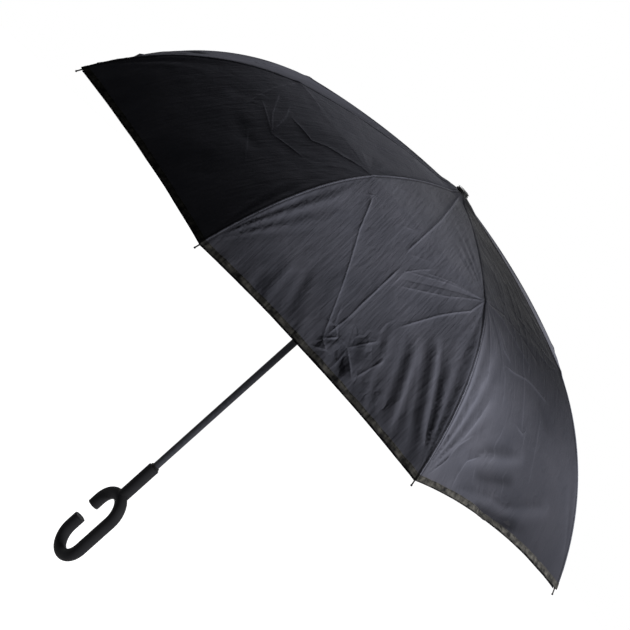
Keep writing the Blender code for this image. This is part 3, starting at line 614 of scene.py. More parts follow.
def goreShadingAndCrumple(line, x, y, style):
    # painted light and shade across and down the gore, paler or darker where more or less light would
    # fall, and where the cloth is crumpled
    across = np.clip(x / np.maximum(line.halfWidth(y), 1e-6), -1, 1)
    left, middle, right = style["paintedShading"]
    pale = middle + (right - left) / 2 * across + ((right + left) / 2 - middle) * across ** 2
    pale *= smoothShadeDown(y / line.full(), style["fall"])
    # painted highlight along the tops of creases and painted shade in hollows
    crease, drawn, hollow = np.zeros_like(x), np.zeros_like(x), np.zeros_like(x)
    kinds = ((style["folds"], crease, 1.5, 0), (style["hollows"], hollow, 0, 1.2))
    for folds, total, even, wider in kinds:
        for tall, width, path in folds:
            away, reached, length = alongPath(x, y, pathInMetres(line, path))
            reach = (even + wider * width) * millimetre
            total += tall * np.exp(-(away / reach) ** 2) * faded(reached, length, 0.002, 0.02)
    for streak in style["streaks"]:
        drawn += streakHeight(line, x, y, streak)
    change = paintedShadeTone["crease"] * np.clip(crease, -0.6, 0.9) + paintedShadeTone["drawn"] * np.clip(drawn, -1, 1)
    change += paintedShadeTone["hollow"] * np.clip(hollow, -4, 2)
    pale *= 1 + style["paintedCreaseLight"] * change
    crumple = np.full_like(x, style["creased"])
    for spotAcross, spotDown, wide, long in style["crumples"]:
        spot = pathInMetres(line, [(spotAcross, spotDown)])[0]
        away = ((x - spot[0]) / (wide * millimetre)) ** 2 + ((y - spot[1]) / (long * millimetre)) ** 2
        crumple = np.maximum(crumple, np.exp(-away ** 1.5))
    return pale, crumple


def gorePlace(line, gore, x, y, style):
    # the even surface between two ribs, straight across but round near the top, moved by its height
    full = line.full()
    wide = np.maximum(line.halfWidth(y), 1e-6)
    across = np.clip(x / wide, -1, 1)
    down = y - style["scallop"] * millimetre * (1 - np.abs(across) ** 2.2) * (y / full) ** 3
    ripple = wander(x, style["seed"] + 5, 0.031) * style["ripple"] * millimetre
    down -= ripple * smoothStep((wide - np.abs(x)) / 0.02) * np.exp(-(full - y) / 0.012)
    profile, slope = line.at(down), line.slopeAt(down)
    share = (across + 1) / 2
    near = ribAngles[gore]
    far = near + pitchAngle
    turn = near + share * pitchAngle
    chord = np.stack([(1 - share) * math.cos(near) + share * math.cos(far),
                      (1 - share) * math.sin(near) + share * math.sin(far)], 1)
    circle = np.stack([np.cos(turn), np.sin(turn)], 1)
    roundShare = smoothStep((0.036 - profile[:, 0]) / 0.022)[:, None]
    place = profile[:, :1] * (chord + (circle - chord) * roundShare)
    place = np.concatenate([place, profile[:, 1:]], 1)
    normal = np.stack([-slope[:, 1] * circle[:, 0], -slope[:, 1] * circle[:, 1], slope[:, 0]], 1)
    return place + normal * (goreHeight(line, x, y, style) * line.side)[:, None]


def cellsOf(points, size):
    return np.floor(points / size).astype(int)


def thinned(points, size, taken=()):
    # leaves out points that share a cell with one before them
    seen = set(taken)
    kept = []
    for index, cell in enumerate(map(tuple, cellsOf(points, size))):
        if cell not in seen:
            seen.add(cell)
            kept.append(index)
    return points[kept], seen


def ribRows(line):
    full = line.full()
    rows = list(np.arange(0, full - 0.018, weaving["ribStep"] * millimetre))
    rows += [full - row * millimetre for row in hemRows] + [full]
    rows = [row for row in rows if min(abs(row - line.jointDown), abs(row - line.middleDown)) > 0.0015]
    return np.array(sorted(rows + [line.jointDown, line.middleDown]))


def flatGore(line, rows, style, coarse):
    # triangles over the flat gore: points on both ribs come first, for the next gore to share
    full = line.full()
    spacing = weaving["spacing"] * coarse * millimetre
    wide = line.halfWidth(rows)
    points = [np.stack([-wide, rows], 1), np.stack([wide, rows], 1)]
    count = len(rows)
    edges = [(first + k, first + k + 1) for first in (0, count) for k in range(count - 1)]
    total = 2 * count

    def addLine(first, inner, last):
        nonlocal total
        ids = ([first] if first is not None else []) + list(range(total, total + len(inner)))
        ids += [last] if last is not None else []
        points.append(inner)
        edges.extend(zip(ids, ids[1:]))
        total += len(inner)

    def crossLine(row, step):
        reach = float(line.halfWidth(rows[row]))
        inner = np.linspace(-reach, reach, 2 * max(int(reach / step), 1) + 1)[1:-1]
        addLine(row, np.stack([inner, np.full(len(inner), rows[row])], 1), count + row)

    crossLine(0, 0.004)
    crossLine(count - 1, weaving["hemStep"] * coarse * millimetre)
    for down in (line.jointDown, line.middleDown):
        crossLine(int(np.argmin(np.abs(rows - down))), 0.8 * spacing)
    middle = np.arange(0.004, full - 0.0008, 0.8 * spacing)
    addLine(None, np.stack([np.zeros(len(middle)), middle], 1), None)
    for _, _, path in style["folds"]:
        addLine(None, evenly(pathInMetres(line, path), weaving["foldStep"] * millimetre), None)
    fixed = np.concatenate(points)
    loose = []
    for row in rows[(rows > 0.02) & (rows < full - 0.0003)]:
        reach = float(line.halfWidth(row))
        for column in ribColumns:
            if reach > 3 * column * millimetre:
                loose += [(reach - column * millimetre, row), (column * millimetre - reach, row)]
    for number, row in enumerate(hemRows):
        reach = float(line.halfWidth(full - row * millimetre)) - 0.005
        step = weaving["hemStep"] * coarse * millimetre
        start = step / 2 * (number % 2)
        loose += [(x, full - row * millimetre) for x in np.arange(-reach + start, reach, step)]
    loose = [np.array(loose)]
    for _, width, path in style["folds"]:
        centre = evenly(pathInMetres(line, path), 1.15 * weaving["foldStep"] * millimetre)
        for offset in (0.6 * width, -0.6 * width, 1.8 * width, -1.8 * width):
            loose.append(besidePath(centre, offset * millimetre))
    for streak in style["streaks"]:
        loose.append(streakPoints(line, streak))
    loose = np.concatenate(loose)
    tight = 0.85 * millimetre * coarse
    _, taken = thinned(fixed, tight)
    loose, _ = thinned(loose, tight, taken)
    detail = np.concatenate([fixed, loose])
    # an even field of points elsewhere
    field = []
    for number, row in enumerate(np.arange(0.010, full - 0.0165, 0.866 * spacing)):
        reach = float(line.halfWidth(row)) - 0.6 * spacing
        start = spacing / 2 * (number % 2)
        field += [(x, row) for x in np.arange(start, reach, spacing)]
        field += [(-x, row) for x in np.arange(start or spacing, reach, spacing)]
    field = np.array(field)
    clear = 0.5 * spacing
    busy = set(map(tuple, cellsOf(detail, clear)))
    field = field[[tuple(cell) not in busy for cell in cellsOf(field, clear)]]
    loose = np.concatenate([loose, field])
    inside = np.abs(loose[:, 0]) < line.halfWidth(loose[:, 1]) - 0.0007
    inside &= (loose[:, 1] > 0.001) & (loose[:, 1] < full - 0.0004)
    everything = np.concatenate([fixed, loose[inside]])
    result = delaunay_2d_cdt([Vector(point) for point in everything], edges, [], 1, 1e-7)
    flat = np.array([tuple(point) for point in result[0]])
    onRib = {}
    for index, sources in enumerate(result[3]):
        for source in sources:
            if source < 2 * count:
                onRib[index] = source
    return flat, np.array(result[2]), onRib


class Cloth:
    # all eight gores of one layer: places, normals, triangles and what each belongs to
    def __init__(self, line, styles, coarse=1.0):
        rows = ribRows(line)
        count = len(rows)
        places = [np.zeros((ribCount * count, 3))]
        away = [np.zeros((ribCount * count, 4))]
        faces, corners, gores = [], [], []
        total = ribCount * count
        for gore in range(ribCount):
            style = styles[gore]
            flat, triangles, onRib = flatGore(line, rows, style, coarse)
            here = gorePlace(line, gore, flat[:, 0], flat[:, 1], style)
            edge = np.stack([line.full() - flat[:, 1], line.halfWidth(flat[:, 1]) - np.abs(flat[:, 0]),
                             *goreShadingAndCrumple(line, flat[:, 0], flat[:, 1], style)], 1)
            ids = np.zeros(len(flat), int)
            fresh = np.array([index not in onRib for index in range(len(flat))])
            ids[fresh] = total + np.arange(fresh.sum())
            total += int(fresh.sum())
            for index, source in onRib.items():
                rib = (gore + source // count) % ribCount
                ids[index] = rib * count + source % count
                if source < count:
                    places[0][ids[index]] = here[index]
                    away[0][ids[index]] = edge[index]
            places.append(here[fresh])
            away.append(edge[fresh])
            turned = triangles[:, ::-1] if line.side > 0 else triangles
            faces.append(ids[turned])
            corners.append(flat[turned])
            gores.append(np.full(len(turned), gore))
        self.line = line
        self.places = np.concatenate(places)
        self.away = np.concatenate(away)
        self.faces = np.concatenate(faces)
        self.corners = np.concatenate(corners)
        self.gores = np.concatenate(gores)
        a, b, c = (self.places[self.faces[:, k]] for k in range(3))
        flatNormals = np.cross(b - a, c - a)
        self.normals = np.zeros_like(self.places)
        for k in range(3):
            np.add.at(self.normals, self.faces[:, k], flatNormals)
        self.normals /= np.linalg.norm(self.normals, axis=1)[:, None] + 1e-15

    def panel(self, rib, side, top, foot):
        # the cloth from a rib to the middle of the gore beside it, between two lengths from the top
        middle = self.corners.mean(1)
        gore = rib if side > 0 else (rib - 1) % ribCount
        mine = (self.gores == gore) & (middle[:, 0] * side < 0)
        return np.nonzero(mine & (middle[:, 1] > top) & (middle[:, 1] < foot))[0]

    def foldAxis(self, rib, side, tier):
        # the panel flattens onto the line of its rib: across that line, towards the middle of its gore
        turn = ribAngles[rib]
        out = Vector((math.cos(turn), math.sin(turn), 0))
        across = Vector((-math.sin(turn), math.cos(turn), 0))
        ends = self.line.at(np.array([tier["top"], min(tier["foot"], self.line.full())]))
        first, last = (out * end[0] + Vector((0, 0, end[1])) for end in ends)
        along = (last - first).normalized()
        half = pitchAngle / 2
        reach = out * (math.cos(half) ** 2 - 1) + across * (side * math.cos(half) * math.sin(half))
        sideways = across * reach.dot(across)
        lift = reach - along * reach.dot(along) - sideways
        axis = (sideways + lift * tier["lean"]).normalized() + along * tier["tilt"]
        return axis, first if tier["fixed"] == "top" else last


def sheetObject(name, cloth, chosen, material):
    # a closed thin sheet from some of a cloth's triangles, with the whole cloth's normals
    faces = cloth.faces[chosen]
    used, local = np.unique(faces, return_inverse=True)
    local = local.reshape(faces.shape)
    count = len(used)
    top = cloth.places[used]
    normals = cloth.normals[used]
    foot = top - normals * weaving["thickness"] * millimetre
    sides = np.concatenate([local[:, [0, 1]], local[:, [1, 2]], local[:, [2, 0]]])
    keys = np.sort(sides, 1)
    _, first, times = np.unique(keys, axis=0, return_index=True, return_counts=True)
    rim = sides[first[times == 1]]
    polygons = local.tolist() + (local[:, ::-1] + count).tolist()
    polygons += np.stack([rim[:, 1], rim[:, 0], rim[:, 0] + count, rim[:, 1] + count], 1).tolist()
    mesh = bpy.data.meshes.new(name)
    mesh.from_pydata(np.concatenate([top, foot]).tolist(), [], polygons)
    corner = cloth.corners[chosen]
    rimCorner = {}
    for triangle, flat in zip(local, corner):
        for vertex, spot in zip(triangle, flat):
            rimCorner[int(vertex)] = spot
    rims = np.array([[rimCorner[int(v)] for v in (b, a, a, b)] for a, b in rim])
    uvs = np.concatenate([corner.reshape(-1, 2), corner[:, ::-1].reshape(-1, 2), rims.reshape(-1, 2)])
    layer = mesh.uv_layers.new(name="cloth")
    layer.data.foreach_set("uv", uvs.astype(np.float32).ravel())
    for column, attribute in enumerate(("hemDistance", "ribDistance", "paintedShading", "crumple")):
        values = mesh.attributes.new(attribute, "FLOAT", "POINT")
        values.data.foreach_set("value", np.tile(cloth.away[used, column], 2).astype(np.float32))
    mesh.polygons.foreach_set("use_smooth", [True] * len(polygons))
    mesh.materials.append(material)
    mesh.normals_split_custom_set_from_vertices(np.concatenate([normals, -normals]).tolist())
    obj = bpy.data.objects.new(name, mesh)
    bpy.context.scene.collection.objects.link(obj)
    a, b, c = (corner[:, k] for k in range(3))
    area = float(np.abs(np.cross(b - a, c - a)).sum() / 2)
    return obj, area


def hangPanels(layer, cloth, tiers, material, node):
    # two half gores beside each rib in every tier, each hung on the body that carries its rib; the line
    # along which it would flatten is worked out but not used
    for tier in tiers:
        low = min(tier["foot"], cloth.line.full())
        wide, long = float(cloth.line.halfWidth(low)), low - tier["top"]
        for rib in range(ribCount):
            for side, mark in ((-1, "a"), (1, "b")):
                chosen = cloth.panel(rib, side, tier["top"], tier["foot"])
                name = "%s_%s_%d%s" % (layer, tier["name"], rib + 1, mark)
                obj, area = sheetObject(name, cloth, chosen, material)
                axis, anchor = cloth.foldAxis(rib, side, tier)
                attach(obj, tier["body"] % (rib + 1))
                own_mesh(obj)
                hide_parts(node)


outer = outerLine()
outer.side = 1
outer.jointDown = outer.downToRadius(armJoint[0] + 0.0006)
outer.middleDown = outer.downToRadius(rodMiddle[0] + 0.0012)


def spokes(*groups):
    # streaks from one corner after another: a corner, its start and rays of (angle, spread, height, end)
    return [(corner, angle, spread, height, start, end)
            for corner, start, rays in groups for angle, spread, height, end in rays]


# some of these values paint light and shade into the cloth's colour across and down each gore and along
# its folds
plainStyle = dict(seed=1, relief=1.05, sag=4.0, dip=0.6, swell=0.5, rumple=0.10, hemWave=1.1, pucker=0.20,
                  hemFold=0.45, seam=0.85, knuckle=0.9, ripple=0.35, scallop=9.0, streakRelief=1.3,
                  paintedShading=(1, 1, 1), fall=(1, 1, 0.9, 0.55), creased=0.16, paintedCreaseLight=1.0, crumples=[],
                  folds=[], hollows=[], streaks=[])

frontGore = dict(
    # painted light: this gore is painted paler, darker at its top, its hem and beside its next rib
    seed=11, scallop=7.0, paintedShading=(1.20, 1.22, 0.88), fall=(0.42, 1.15, 0.95, 0.42),
    crumples=[(0.08, 0.945, 40, 24), (0.16, 0.88, 26, 20), (0.42, 0.95, 40, 16)],
    folds=[
        (0.8, 1.6, [(0, 0.03), (-0.04, 0.35), (-0.08, 0.60)]),
        (0.8, 1.5, [(-0.02, 0.655), (-0.03, 0.81), (-0.03, 0.87), (-0.05, 0.95)]),
        (0.8, 1.5, [(-0.05, 0.95), (-0.095, 0.917), (-0.20, 0.84), (-0.25, 0.806), (-0.51, 0.666),
                    (-0.75, 0.546)]),
        (0.8, 1.6, [(1, 0.487), (0.80, 0.57), (0.51, 0.667), (0.29, 0.783)]),
        (0.5, 1.3, [(0.03, 0.715), (0.04, 0.65), (0.135, 0.605), (0.26, 0.56)]),
        (0.45, 1.3, [(0.13, 0.61), (0.50, 0.545), (0.73, 0.515), (1, 0.487)]),
        (0.3, 1.3, [(-0.06, 0.60), (0.20, 0.55)]),
        (0.45, 1.3, [(0.05, 0.645), (0.55, 0.545), (1, 0.487)]),
        (-0.45, 1.3, [(0.06, 0.675), (0.52, 0.57), (1, 0.487)]),
        (0.5, 1.4, [(0.07, 0.70), (0.50, 0.60), (1, 0.487)]),
        (0.4, 1.3, [(-0.34, 0.55), (-0.25, 0.53), (-0.14, 0.50)]),
        (0.6, 1.2, [(-0.78, 0.56), (-0.75, 0.546), (-0.69, 0.55)]),
        (1.3, 1.7, [(-0.05, 0.95), (0.02, 0.92), (0.11, 0.92)]),
        (-0.9, 1.8, [(-0.03, 0.90), (0.02, 0.92), (0.02, 0.963)]),
        (0.8, 1.6, [(0.11, 0.92), (0.17, 0.885), (0.25, 0.845)]),
        (1.2, 1.9, [(0.11, 0.92), (0.21, 0.947), (0.27, 0.965)]),
        (0.8, 1.8, [(0.11, 0.92), (0.13, 0.955), (0.12, 0.99)]),
        (1.0, 1.6, [(-0.05, 0.95), (0.02, 0.963)]),
        (0.9, 1.7, [(-0.08, 0.983), (0.02, 0.963), (0.075, 0.953)]),
        (0.8, 1.7, [(0.02, 0.92), (-0.06, 0.905), (-0.13, 0.915)]),
        (0.8, 1.6, [(0.27, 0.965), (0.31, 0.92), (0.36, 0.87)]),
        (0.45, 1.4, [(0.20, 0.83), (0.20, 0.80), (0.23, 0.775)]),
        (-0.5, 1.5, [(0.04, 0.87), (0.11, 0.92)]),
        (0.6, 1.5, [(-0.12, 0.86), (-0.07, 0.90), (-0.03, 0.90)]),
    ],
    hollows=[
        (-2.4, 5.5, [(0.50, 0.72), (0.74, 0.90), (0.90, 0.985)]),
        (2.4, 4.6, [(0.58, 0.70), (0.82, 0.90), (0.97, 0.965)]),
        (-2.0, 4.5, [(0.70, 0.72), (0.90, 0.91), (0.98, 0.965)]),
        (-2.2, 5.5, [(0.18, 0.78), (0.375, 0.918), (0.46, 0.99)]),
        (2.4, 4.6, [(0.26, 0.80), (0.39, 0.95), (0.47, 0.998)]),
        (-2.2, 5.0, [(0.38, 0.76), (0.55, 0.94), (0.62, 0.995)]),
        (2.2, 4.6, [(0.46, 0.76), (0.64, 0.95), (0.70, 0.995)]),
        (-2.0, 4.8, [(0.56, 0.80), (0.72, 0.99)]),
        (1.2, 6.0, [(0.22, 0.80), (0.30, 0.86), (0.36, 0.91)]),
        (-1.8, 6.0, [(-0.48, 0.84), (-0.33, 0.965), (-0.28, 0.998)]),
        (1.8, 5.5, [(-0.58, 0.86), (-0.50, 0.97), (-0.45, 0.998)]),
        (-1.6, 6.0, [(-0.64, 0.93), (-0.58, 0.99)]),
        (1.3, 6.0, [(-0.24, 0.93), (-0.18, 0.995)]),
        (0.9, 8.0, [(-0.30, 0.80), (-0.22, 0.86), (-0.18, 0.92)]),
        (-2.8, 9.0, [(0.02, 0.94), (0.10, 0.955), (0.22, 0.975)]),
        (-2.2, 8.0, [(0.06, 0.885), (0.15, 0.90), (0.24, 0.93)]),
        (1.6, 6.0, [(0.00, 0.935), (0.06, 0.945)]),
        (-1.7, 6.0, [(0.10, 0.95), (0.17, 0.965)]),
        (1.5, 6.5, [(0.19, 0.905), (0.24, 0.93)]),
        (-1.4, 6.0, [(-0.10, 0.95), (-0.06, 0.975)]),
        (1.2, 5.0, [(-0.02, 0.885), (0.03, 0.87)]),
    ],
    streaks=spokes(
        ("left tip", 30, [(2.2, 1.0, 0.8, 330), (5.0, 1.3, -0.8, 360), (8.2, 1.5, 0.8, 300),
                          (12.0, 1.6, -0.6, 240), (16.0, 1.8, 0.5, 220), (21.0, 2.0, -0.4, 180)]),
        ("right tip", 30, [(3.2, 1.8, 0.8, 340), (7.6, 1.8, -0.9, 320), (12.2, 1.9, 0.8, 270),
                           (17.2, 2.1, -0.6, 230)]),
        ("right joint", 20, [(9, 1.2, 0.4, 190), (13, 1.2, -0.4, 170), (17, 1.3, 0.4, 190),
                             (22, 1.4, -0.4, 150)]),
        ("right joint", 18, [(29, 1.6, 0.4, 140), (37, 1.8, -0.35, 130), (170, 1.8, -0.6, 150),
                             (163, 2.0, 0.5, 130)]),
        ("left joint", 18, [(20, 2.0, 0.4, 120), (168, 2.0, 0.4, 150)])))

rightGore = dict(
    seed=23, scallop=16.0, relief=1.35, creased=0.32,
    # painted shade: this gore is painted darker, except beside its first rib and in the lower skirt
    paintedShading=(1.10, 0.50, 0.50), fall=(0.18, 0.34, 1.05, 0.52),
    crumples=[(-0.35, 0.88, 44, 14), (-0.10, 0.945, 60, 14)],
    folds=[
        (0.6, 1.4, [(-0.02, 0.30), (-0.02, 0.37), (-0.10, 0.49), (-0.105, 0.58), (-0.045, 0.69),
                    (-0.02, 0.76)]),
        (0.7, 1.4, [(-0.50, 0.626), (-0.30, 0.624), (0, 0.612), (0.20, 0.617), (0.46, 0.625)]),
        (0.7, 1.5, [(-0.72, 0.54), (-0.55, 0.588), (-0.34, 0.608)]),
        (0.5, 1.3, [(-1, 0.487), (-0.62, 0.50), (-0.30, 0.53), (0.1, 0.575)]),
        (-0.5, 1.3, [(-1, 0.487), (-0.55, 0.475), (-0.1, 0.49), (0.35, 0.54)]),
        (0.5, 1.3, [(1, 0.487), (0.6, 0.48), (0.2, 0.45), (-0.15, 0.41)]),
        (0.5, 1.3, [(1, 0.487), (0.66, 0.51), (0.3, 0.50)]),
        (0.6, 1.3, [(-0.16, 0.745), (-0.08, 0.752), (0.0, 0.757), (0.06, 0.735)]),
        (1.0, 1.5, [(-0.65, 0.98), (-0.655, 0.945), (-0.64, 0.908), (-0.54, 0.885)]),
        (0.8, 1.4, [(-0.93, 0.975), (-0.84, 0.93), (-0.80, 0.885), (-0.66, 0.84)]),
        (0.5, 1.4, [(-0.52, 0.90), (-0.46, 0.95)]),
        (0.5, 1.4, [(-0.11, 0.86), (-0.09, 0.94)]),
        (0.5, 1.4, [(0.02, 0.80), (0.05, 0.72)]),
        (0.5, 1.3, [(-0.95, 0.50), (-0.80, 0.62), (-0.74, 0.72)]),
        (0.5, 1.3, [(-0.90, 0.50), (-0.62, 0.58), (-0.45, 0.66), (-0.40, 0.74)]),
        (0.5, 1.3, [(-0.60, 0.30), (-0.45, 0.42), (-0.20, 0.56)]),
        (0.45, 1.3, [(-0.30, 0.25), (-0.35, 0.40), (-0.60, 0.52)]),
        (0.45, 1.3, [(0.30, 0.30), (0.12, 0.45), (0.0, 0.60)]),
        (0.5, 1.3, [(-0.30, 0.76), (-0.36, 0.84), (-0.38, 0.90)]),
        (0.5, 1.3, [(-0.62, 0.74), (-0.72, 0.82), (-0.80, 0.88)]),
        (0.4, 1.3, [(0.30, 0.66), (0.24, 0.78), (0.22, 0.86)]),
    ],
    hollows=[
        (3.2, 8.5, [(-0.72, 0.92), (-0.43, 0.868), (-0.235, 0.852), (0.12, 0.80)]),
        (-1.2, 8, [(-0.55, 0.86), (-0.35, 0.83), (-0.1, 0.80)]),
        (4.2, 10.0, [(-0.72, 0.985), (-0.20, 0.957), (-0.03, 0.955), (0.175, 0.927), (0.62, 0.86)]),
        (-1.8, 6, [(-0.40, 0.992), (-0.1, 0.99), (0.15, 0.97), (0.4, 0.95)]),
        (-3.0, 7.5, [(-0.50, 0.925), (-0.25, 0.90), (0.05, 0.868)]),
        (-3.6, 8.5, [(-0.36, 0.99), (-0.05, 0.982), (0.28, 0.96)]),
        (-1.2, 6, [(0.50, 0.965), (0.60, 0.955)]),
        (-1.0, 9, [(0.2, 0.62), (0.5, 0.70)]),
    ],
    streaks=spokes(
        ("left tip", 30, [(3.2, 1.8, 0.9, 380), (7.4, 1.8, -0.9, 340), (11.8, 1.9, 1.0, 320),
                          (16.6, 2.1, -0.9, 280), (22.0, 2.3, 0.9, 260), (28.0, 2.5, -0.7, 210)]),
        ("right tip", 30, [(3.0, 1.2, 0.6, 240), (7.0, 1.6, -0.5, 220), (12.0, 2.0, 0.5, 180)]),
        ("left joint", 15, [(120, 2.5, 0.5, 110), (135, 2.5, -0.5, 120), (150, 2.5, 0.5, 110),
                            (165, 2.5, -0.5, 100), (20, 2.0, 0.4, 110), (32, 2.2, -0.4, 100)]),
        ("right joint", 15, [(40, 2.0, 0.4, 120), (55, 2.2, -0.4, 110), (100, 2.4, 0.4, 100),
                             (14, 1.6, 0.4, 160)])))

leftGore = dict(
    seed=37, scallop=5.0, hemWave=0.6,
    folds=[
        (0.9, 1.6, [(0.15, 0.69), (-0.15, 0.65), (-0.53, 0.587)]),
        (0.9, 1.5, [(0.15, 0.69), (-0.05, 0.63), (-0.31, 0.582)]),
        (0.7, 1.5, [(0.15, 0.69), (-0.10, 0.67), (-0.36, 0.65)]),
        (0.7, 1.5, [(0.15, 0.69), (0.35, 0.672), (0.55, 0.656)]),
        (0.8, 1.5, [(1, 0.487), (0.81, 0.503), (0.62, 0.537), (0.435, 0.562), (0.31, 0.597),
                    (-0.09, 0.605)]),
        (0.6, 1.4, [(-1, 0.487), (-0.72, 0.478), (-0.50, 0.48)]),
        (0.4, 1.4, [(0, 0.10), (0.02, 0.30), (0.03, 0.46)]),
        (0.5, 1.4, [(0.05, 0.74), (0.25, 0.77), (0.42, 0.80)]),
        (0.5, 1.4, [(-1, 0.487), (-0.6, 0.60), (-0.25, 0.72)]),
    ],
    hollows=[
        (-1.2, 10, [(-0.2, 0.73), (0.1, 0.76), (0.4, 0.75)]),
        (1.0, 10, [(-0.5, 0.70), (-0.2, 0.80)]),
        (-1.0, 12, [(0.2, 0.86), (0.5, 0.92)]),
    ],
    streaks=spokes(
        ("right joint", 12, [(18, 2.2, 0.5, 110), (34, 2.4, -0.5, 100), (52, 2.6, 0.5, 90),
                             (72, 2.6, -0.4, 90), (105, 2.6, 0.4, 90)]),
        ("right joint", 15, [(150, 2.2, 0.4, 120)]),
        ("left joint", 15, [(30, 2.2, 0.4, 100), (60, 2.4, -0.4, 100)]),
        ("left tip", 30, [(3.0, 1.2, 0.6, 300), (7.0, 1.5, -0.6, 260), (12.0, 1.8, 0.5, 220)]),
        ("right tip", 30, [(3.0, 1.2, 0.6, 300), (7.0, 1.5, -0.6, 260), (12.0, 1.8, 0.5, 220)])))


def mirrored(style, seed, scallop):
    # the same kind of gore the other way round, with its folds moved a little
    random = np.random.default_rng(seed)

    def shifted(folds):
        made = []
        for tall, width, path in folds:
            nudge = random.normal(0, 0.02, 2)
            moved = []
            for across, down in path:
                loose = abs(across) < 0.98
                moved.append((-across + nudge[0] * loose, min(down + nudge[1] * loose, 0.995)))
            made.append((tall * random.uniform(0.75, 1.2), width, moved))
        return made

    swap = {"left": "right", "right": "left"}
    streaks = []
    for corner, angle, spread, height, start, end in style["streaks"]:
        side, kind = corner.split()
        streaks.append(("%s %s" % (swap[side], kind), angle + random.normal(0, 0.5), spread,
                        height * random.uniform(0.7, 1.2), start, end * random.uniform(0.85, 1.1)))
    return dict(style, seed=seed, scallop=scallop, folds=shifted(style["folds"]),
                hollows=shifted(style["hollows"]), streaks=streaks)


goreStyles = [rightGore, mirrored(frontGore, 41, 9.0), mirrored(rightGore, 42, 10.0),
              mirrored(leftGore, 43, 11.0), mirrored(rightGore, 44, 8.0), mirrored(frontGore, 45, 9.0),
              leftGore, frontGore]
goreStyles = [dict(plainStyle, **style) for style in goreStyles]

# Tiers from the top to the hem. Lean and tilt turn the line along which a tier flattens, and keep is
# the share of its width that is left, all chosen so that the tiers meet when the umbrella is closed.
canopyTiers = [
    dict(name="crown", body="stretcher_%d", top=0, foot=outer.jointDown,
         lean=1.23, tilt=0.018, fixed="foot", keep=0.169),
    dict(name="skirt", body="rod_inner_%d", top=outer.jointDown, foot=outer.middleDown,
         lean=1.34, tilt=-0.012, fixed="foot", keep=0.127),
    dict(name="hem", body="rod_outer_%d", top=outer.middleDown, foot=9,
         lean=1.35, tilt=0.03, fixed="top", keep=0.088)]
canopy = Cloth(outer, goreStyles)
hangPanels("canopy", canopy, canopyTiers, outerCloth, "outer_canopy")
print("canopy made:", len(canopy.faces), "triangles on its face")


# Lining under the ribs

lining = liningLine()
lining.side = -1
lining.above = outer
lining.jointDown = lining.downToRadius(armJoint[0] - 0.0004)
lining.middleDown = lining.downToRadius(rodMiddle[0] - 0.0012)

liningStyle = dict(
    plainStyle, seed=60, sag=-6.5, dip=-1.0, swell=0.5, rumple=0.12, hemWave=0.0, pucker=0.20, seam=0.4,
    knuckle=0.5, hemFold=0.2, ripple=0.0,
    folds=[(0.7, 2.2, [(0, 0.10), (0.01, 0.55), (0.0, 0.93)]),
           (0.6, 2.2, [(-1, 0.487), (-0.5, 0.66), (-0.12, 0.86)]),
           (0.6, 2.2, [(1, 0.487), (0.5, 0.66), (0.10, 0.86)])],
    hollows=[(-1.0, 10, [(-0.5, 0.9), (-0.1, 0.85)]), (0.9, 10, [(0.2, 0.8), (0.6, 0.9)])],
    streaks=[("left tip", 5, 2.0, 0.6, 30, 240), ("left tip", 11, 2.4, -0.5, 30, 220),
             ("right tip", 5, 2.0, 0.6, 30, 240), ("right tip", 12, 2.4, -0.5, 30, 200),
             ("left joint", 30, 3.0, 0.5, 15, 110), ("right joint", 30, 3.0, 0.5, 15, 110)])
liningStyles = []
for gore in range(ribCount):
    liningStyles.append(dict(mirrored(liningStyle, 60 + gore, goreStyles[gore]["scallop"]),
                             above=goreStyles[gore], clear=1.2))

liningTiers = [
    dict(name="inner", body="rib_%d", top=0, foot=lining.jointDown,
         lean=2.22, tilt=0.008, fixed="foot", keep=0.168),
    dict(name="skirt", body="rod_inner_%d", top=lining.jointDown, foot=lining.middleDown,
         lean=1.50, tilt=-0.012, fixed="foot", keep=0.134),
    dict(name="hem", body="rod_outer_%d", top=lining.middleDown, foot=9,
         lean=1.40, tilt=0.03, fixed="top", keep=0.103)]
underside = Cloth(lining, liningStyles, coarse=1.7)
hangPanels("lining", underside, liningTiers, liningCloth, "lining")
print("lining made:", len(underside.faces), "triangles on its face")


# Smooth turned and swept pieces

def linkMesh(name, vertices, polygons, material, sharpAngle=40):
    mesh = bpy.data.meshes.new(name)
    mesh.from_pydata(vertices, [], polygons)
    mesh.shade_smooth()
    mesh.set_sharp_from_angle(angle=math.radians(sharpAngle))
    mesh.materials.append(material)
    obj = bpy.data.objects.new(name, mesh)
    bpy.context.scene.collection.objects.link(obj)
    return obj


def ringSkin(rings, closed=False):
    # quads between rings of points, with ends filled unless the rings close on themselves
    steps = len(rings[0])
    vertices = [tuple(point) for ring in rings for point in ring]
    polygons = []
    pairs = len(rings) if closed else len(rings) - 1
    for ring in range(pairs):
        low, high = ring * steps, (ring + 1) % len(rings) * steps
        for step in range(steps):
            after = (step + 1) % steps
            polygons.append((low + step, low + after, high + after, high + step))
    if not closed:
        last = (len(rings) - 1) * steps
        polygons.append(tuple(range(steps))[::-1])
        polygons.append(tuple(last + step for step in range(steps)))
    return vertices, polygons


def circle(radius, steps):
    turns = 2 * math.pi * np.arange(steps) / steps
    return [(radius * math.cos(turn), radius * math.sin(turn)) for turn in turns]


def turnedPiece(name, outline, material, steps=48, closed=False):
    # an outline of (radius, height) turned about the shaft's axis, from bottom to top on its outside
    rings = [[(x, y, height) for x, y in circle(radius, steps)] for radius, height in outline]
    vertices, polygons = ringSkin(rings, closed)
    return linkMesh(name, vertices, polygons, material)


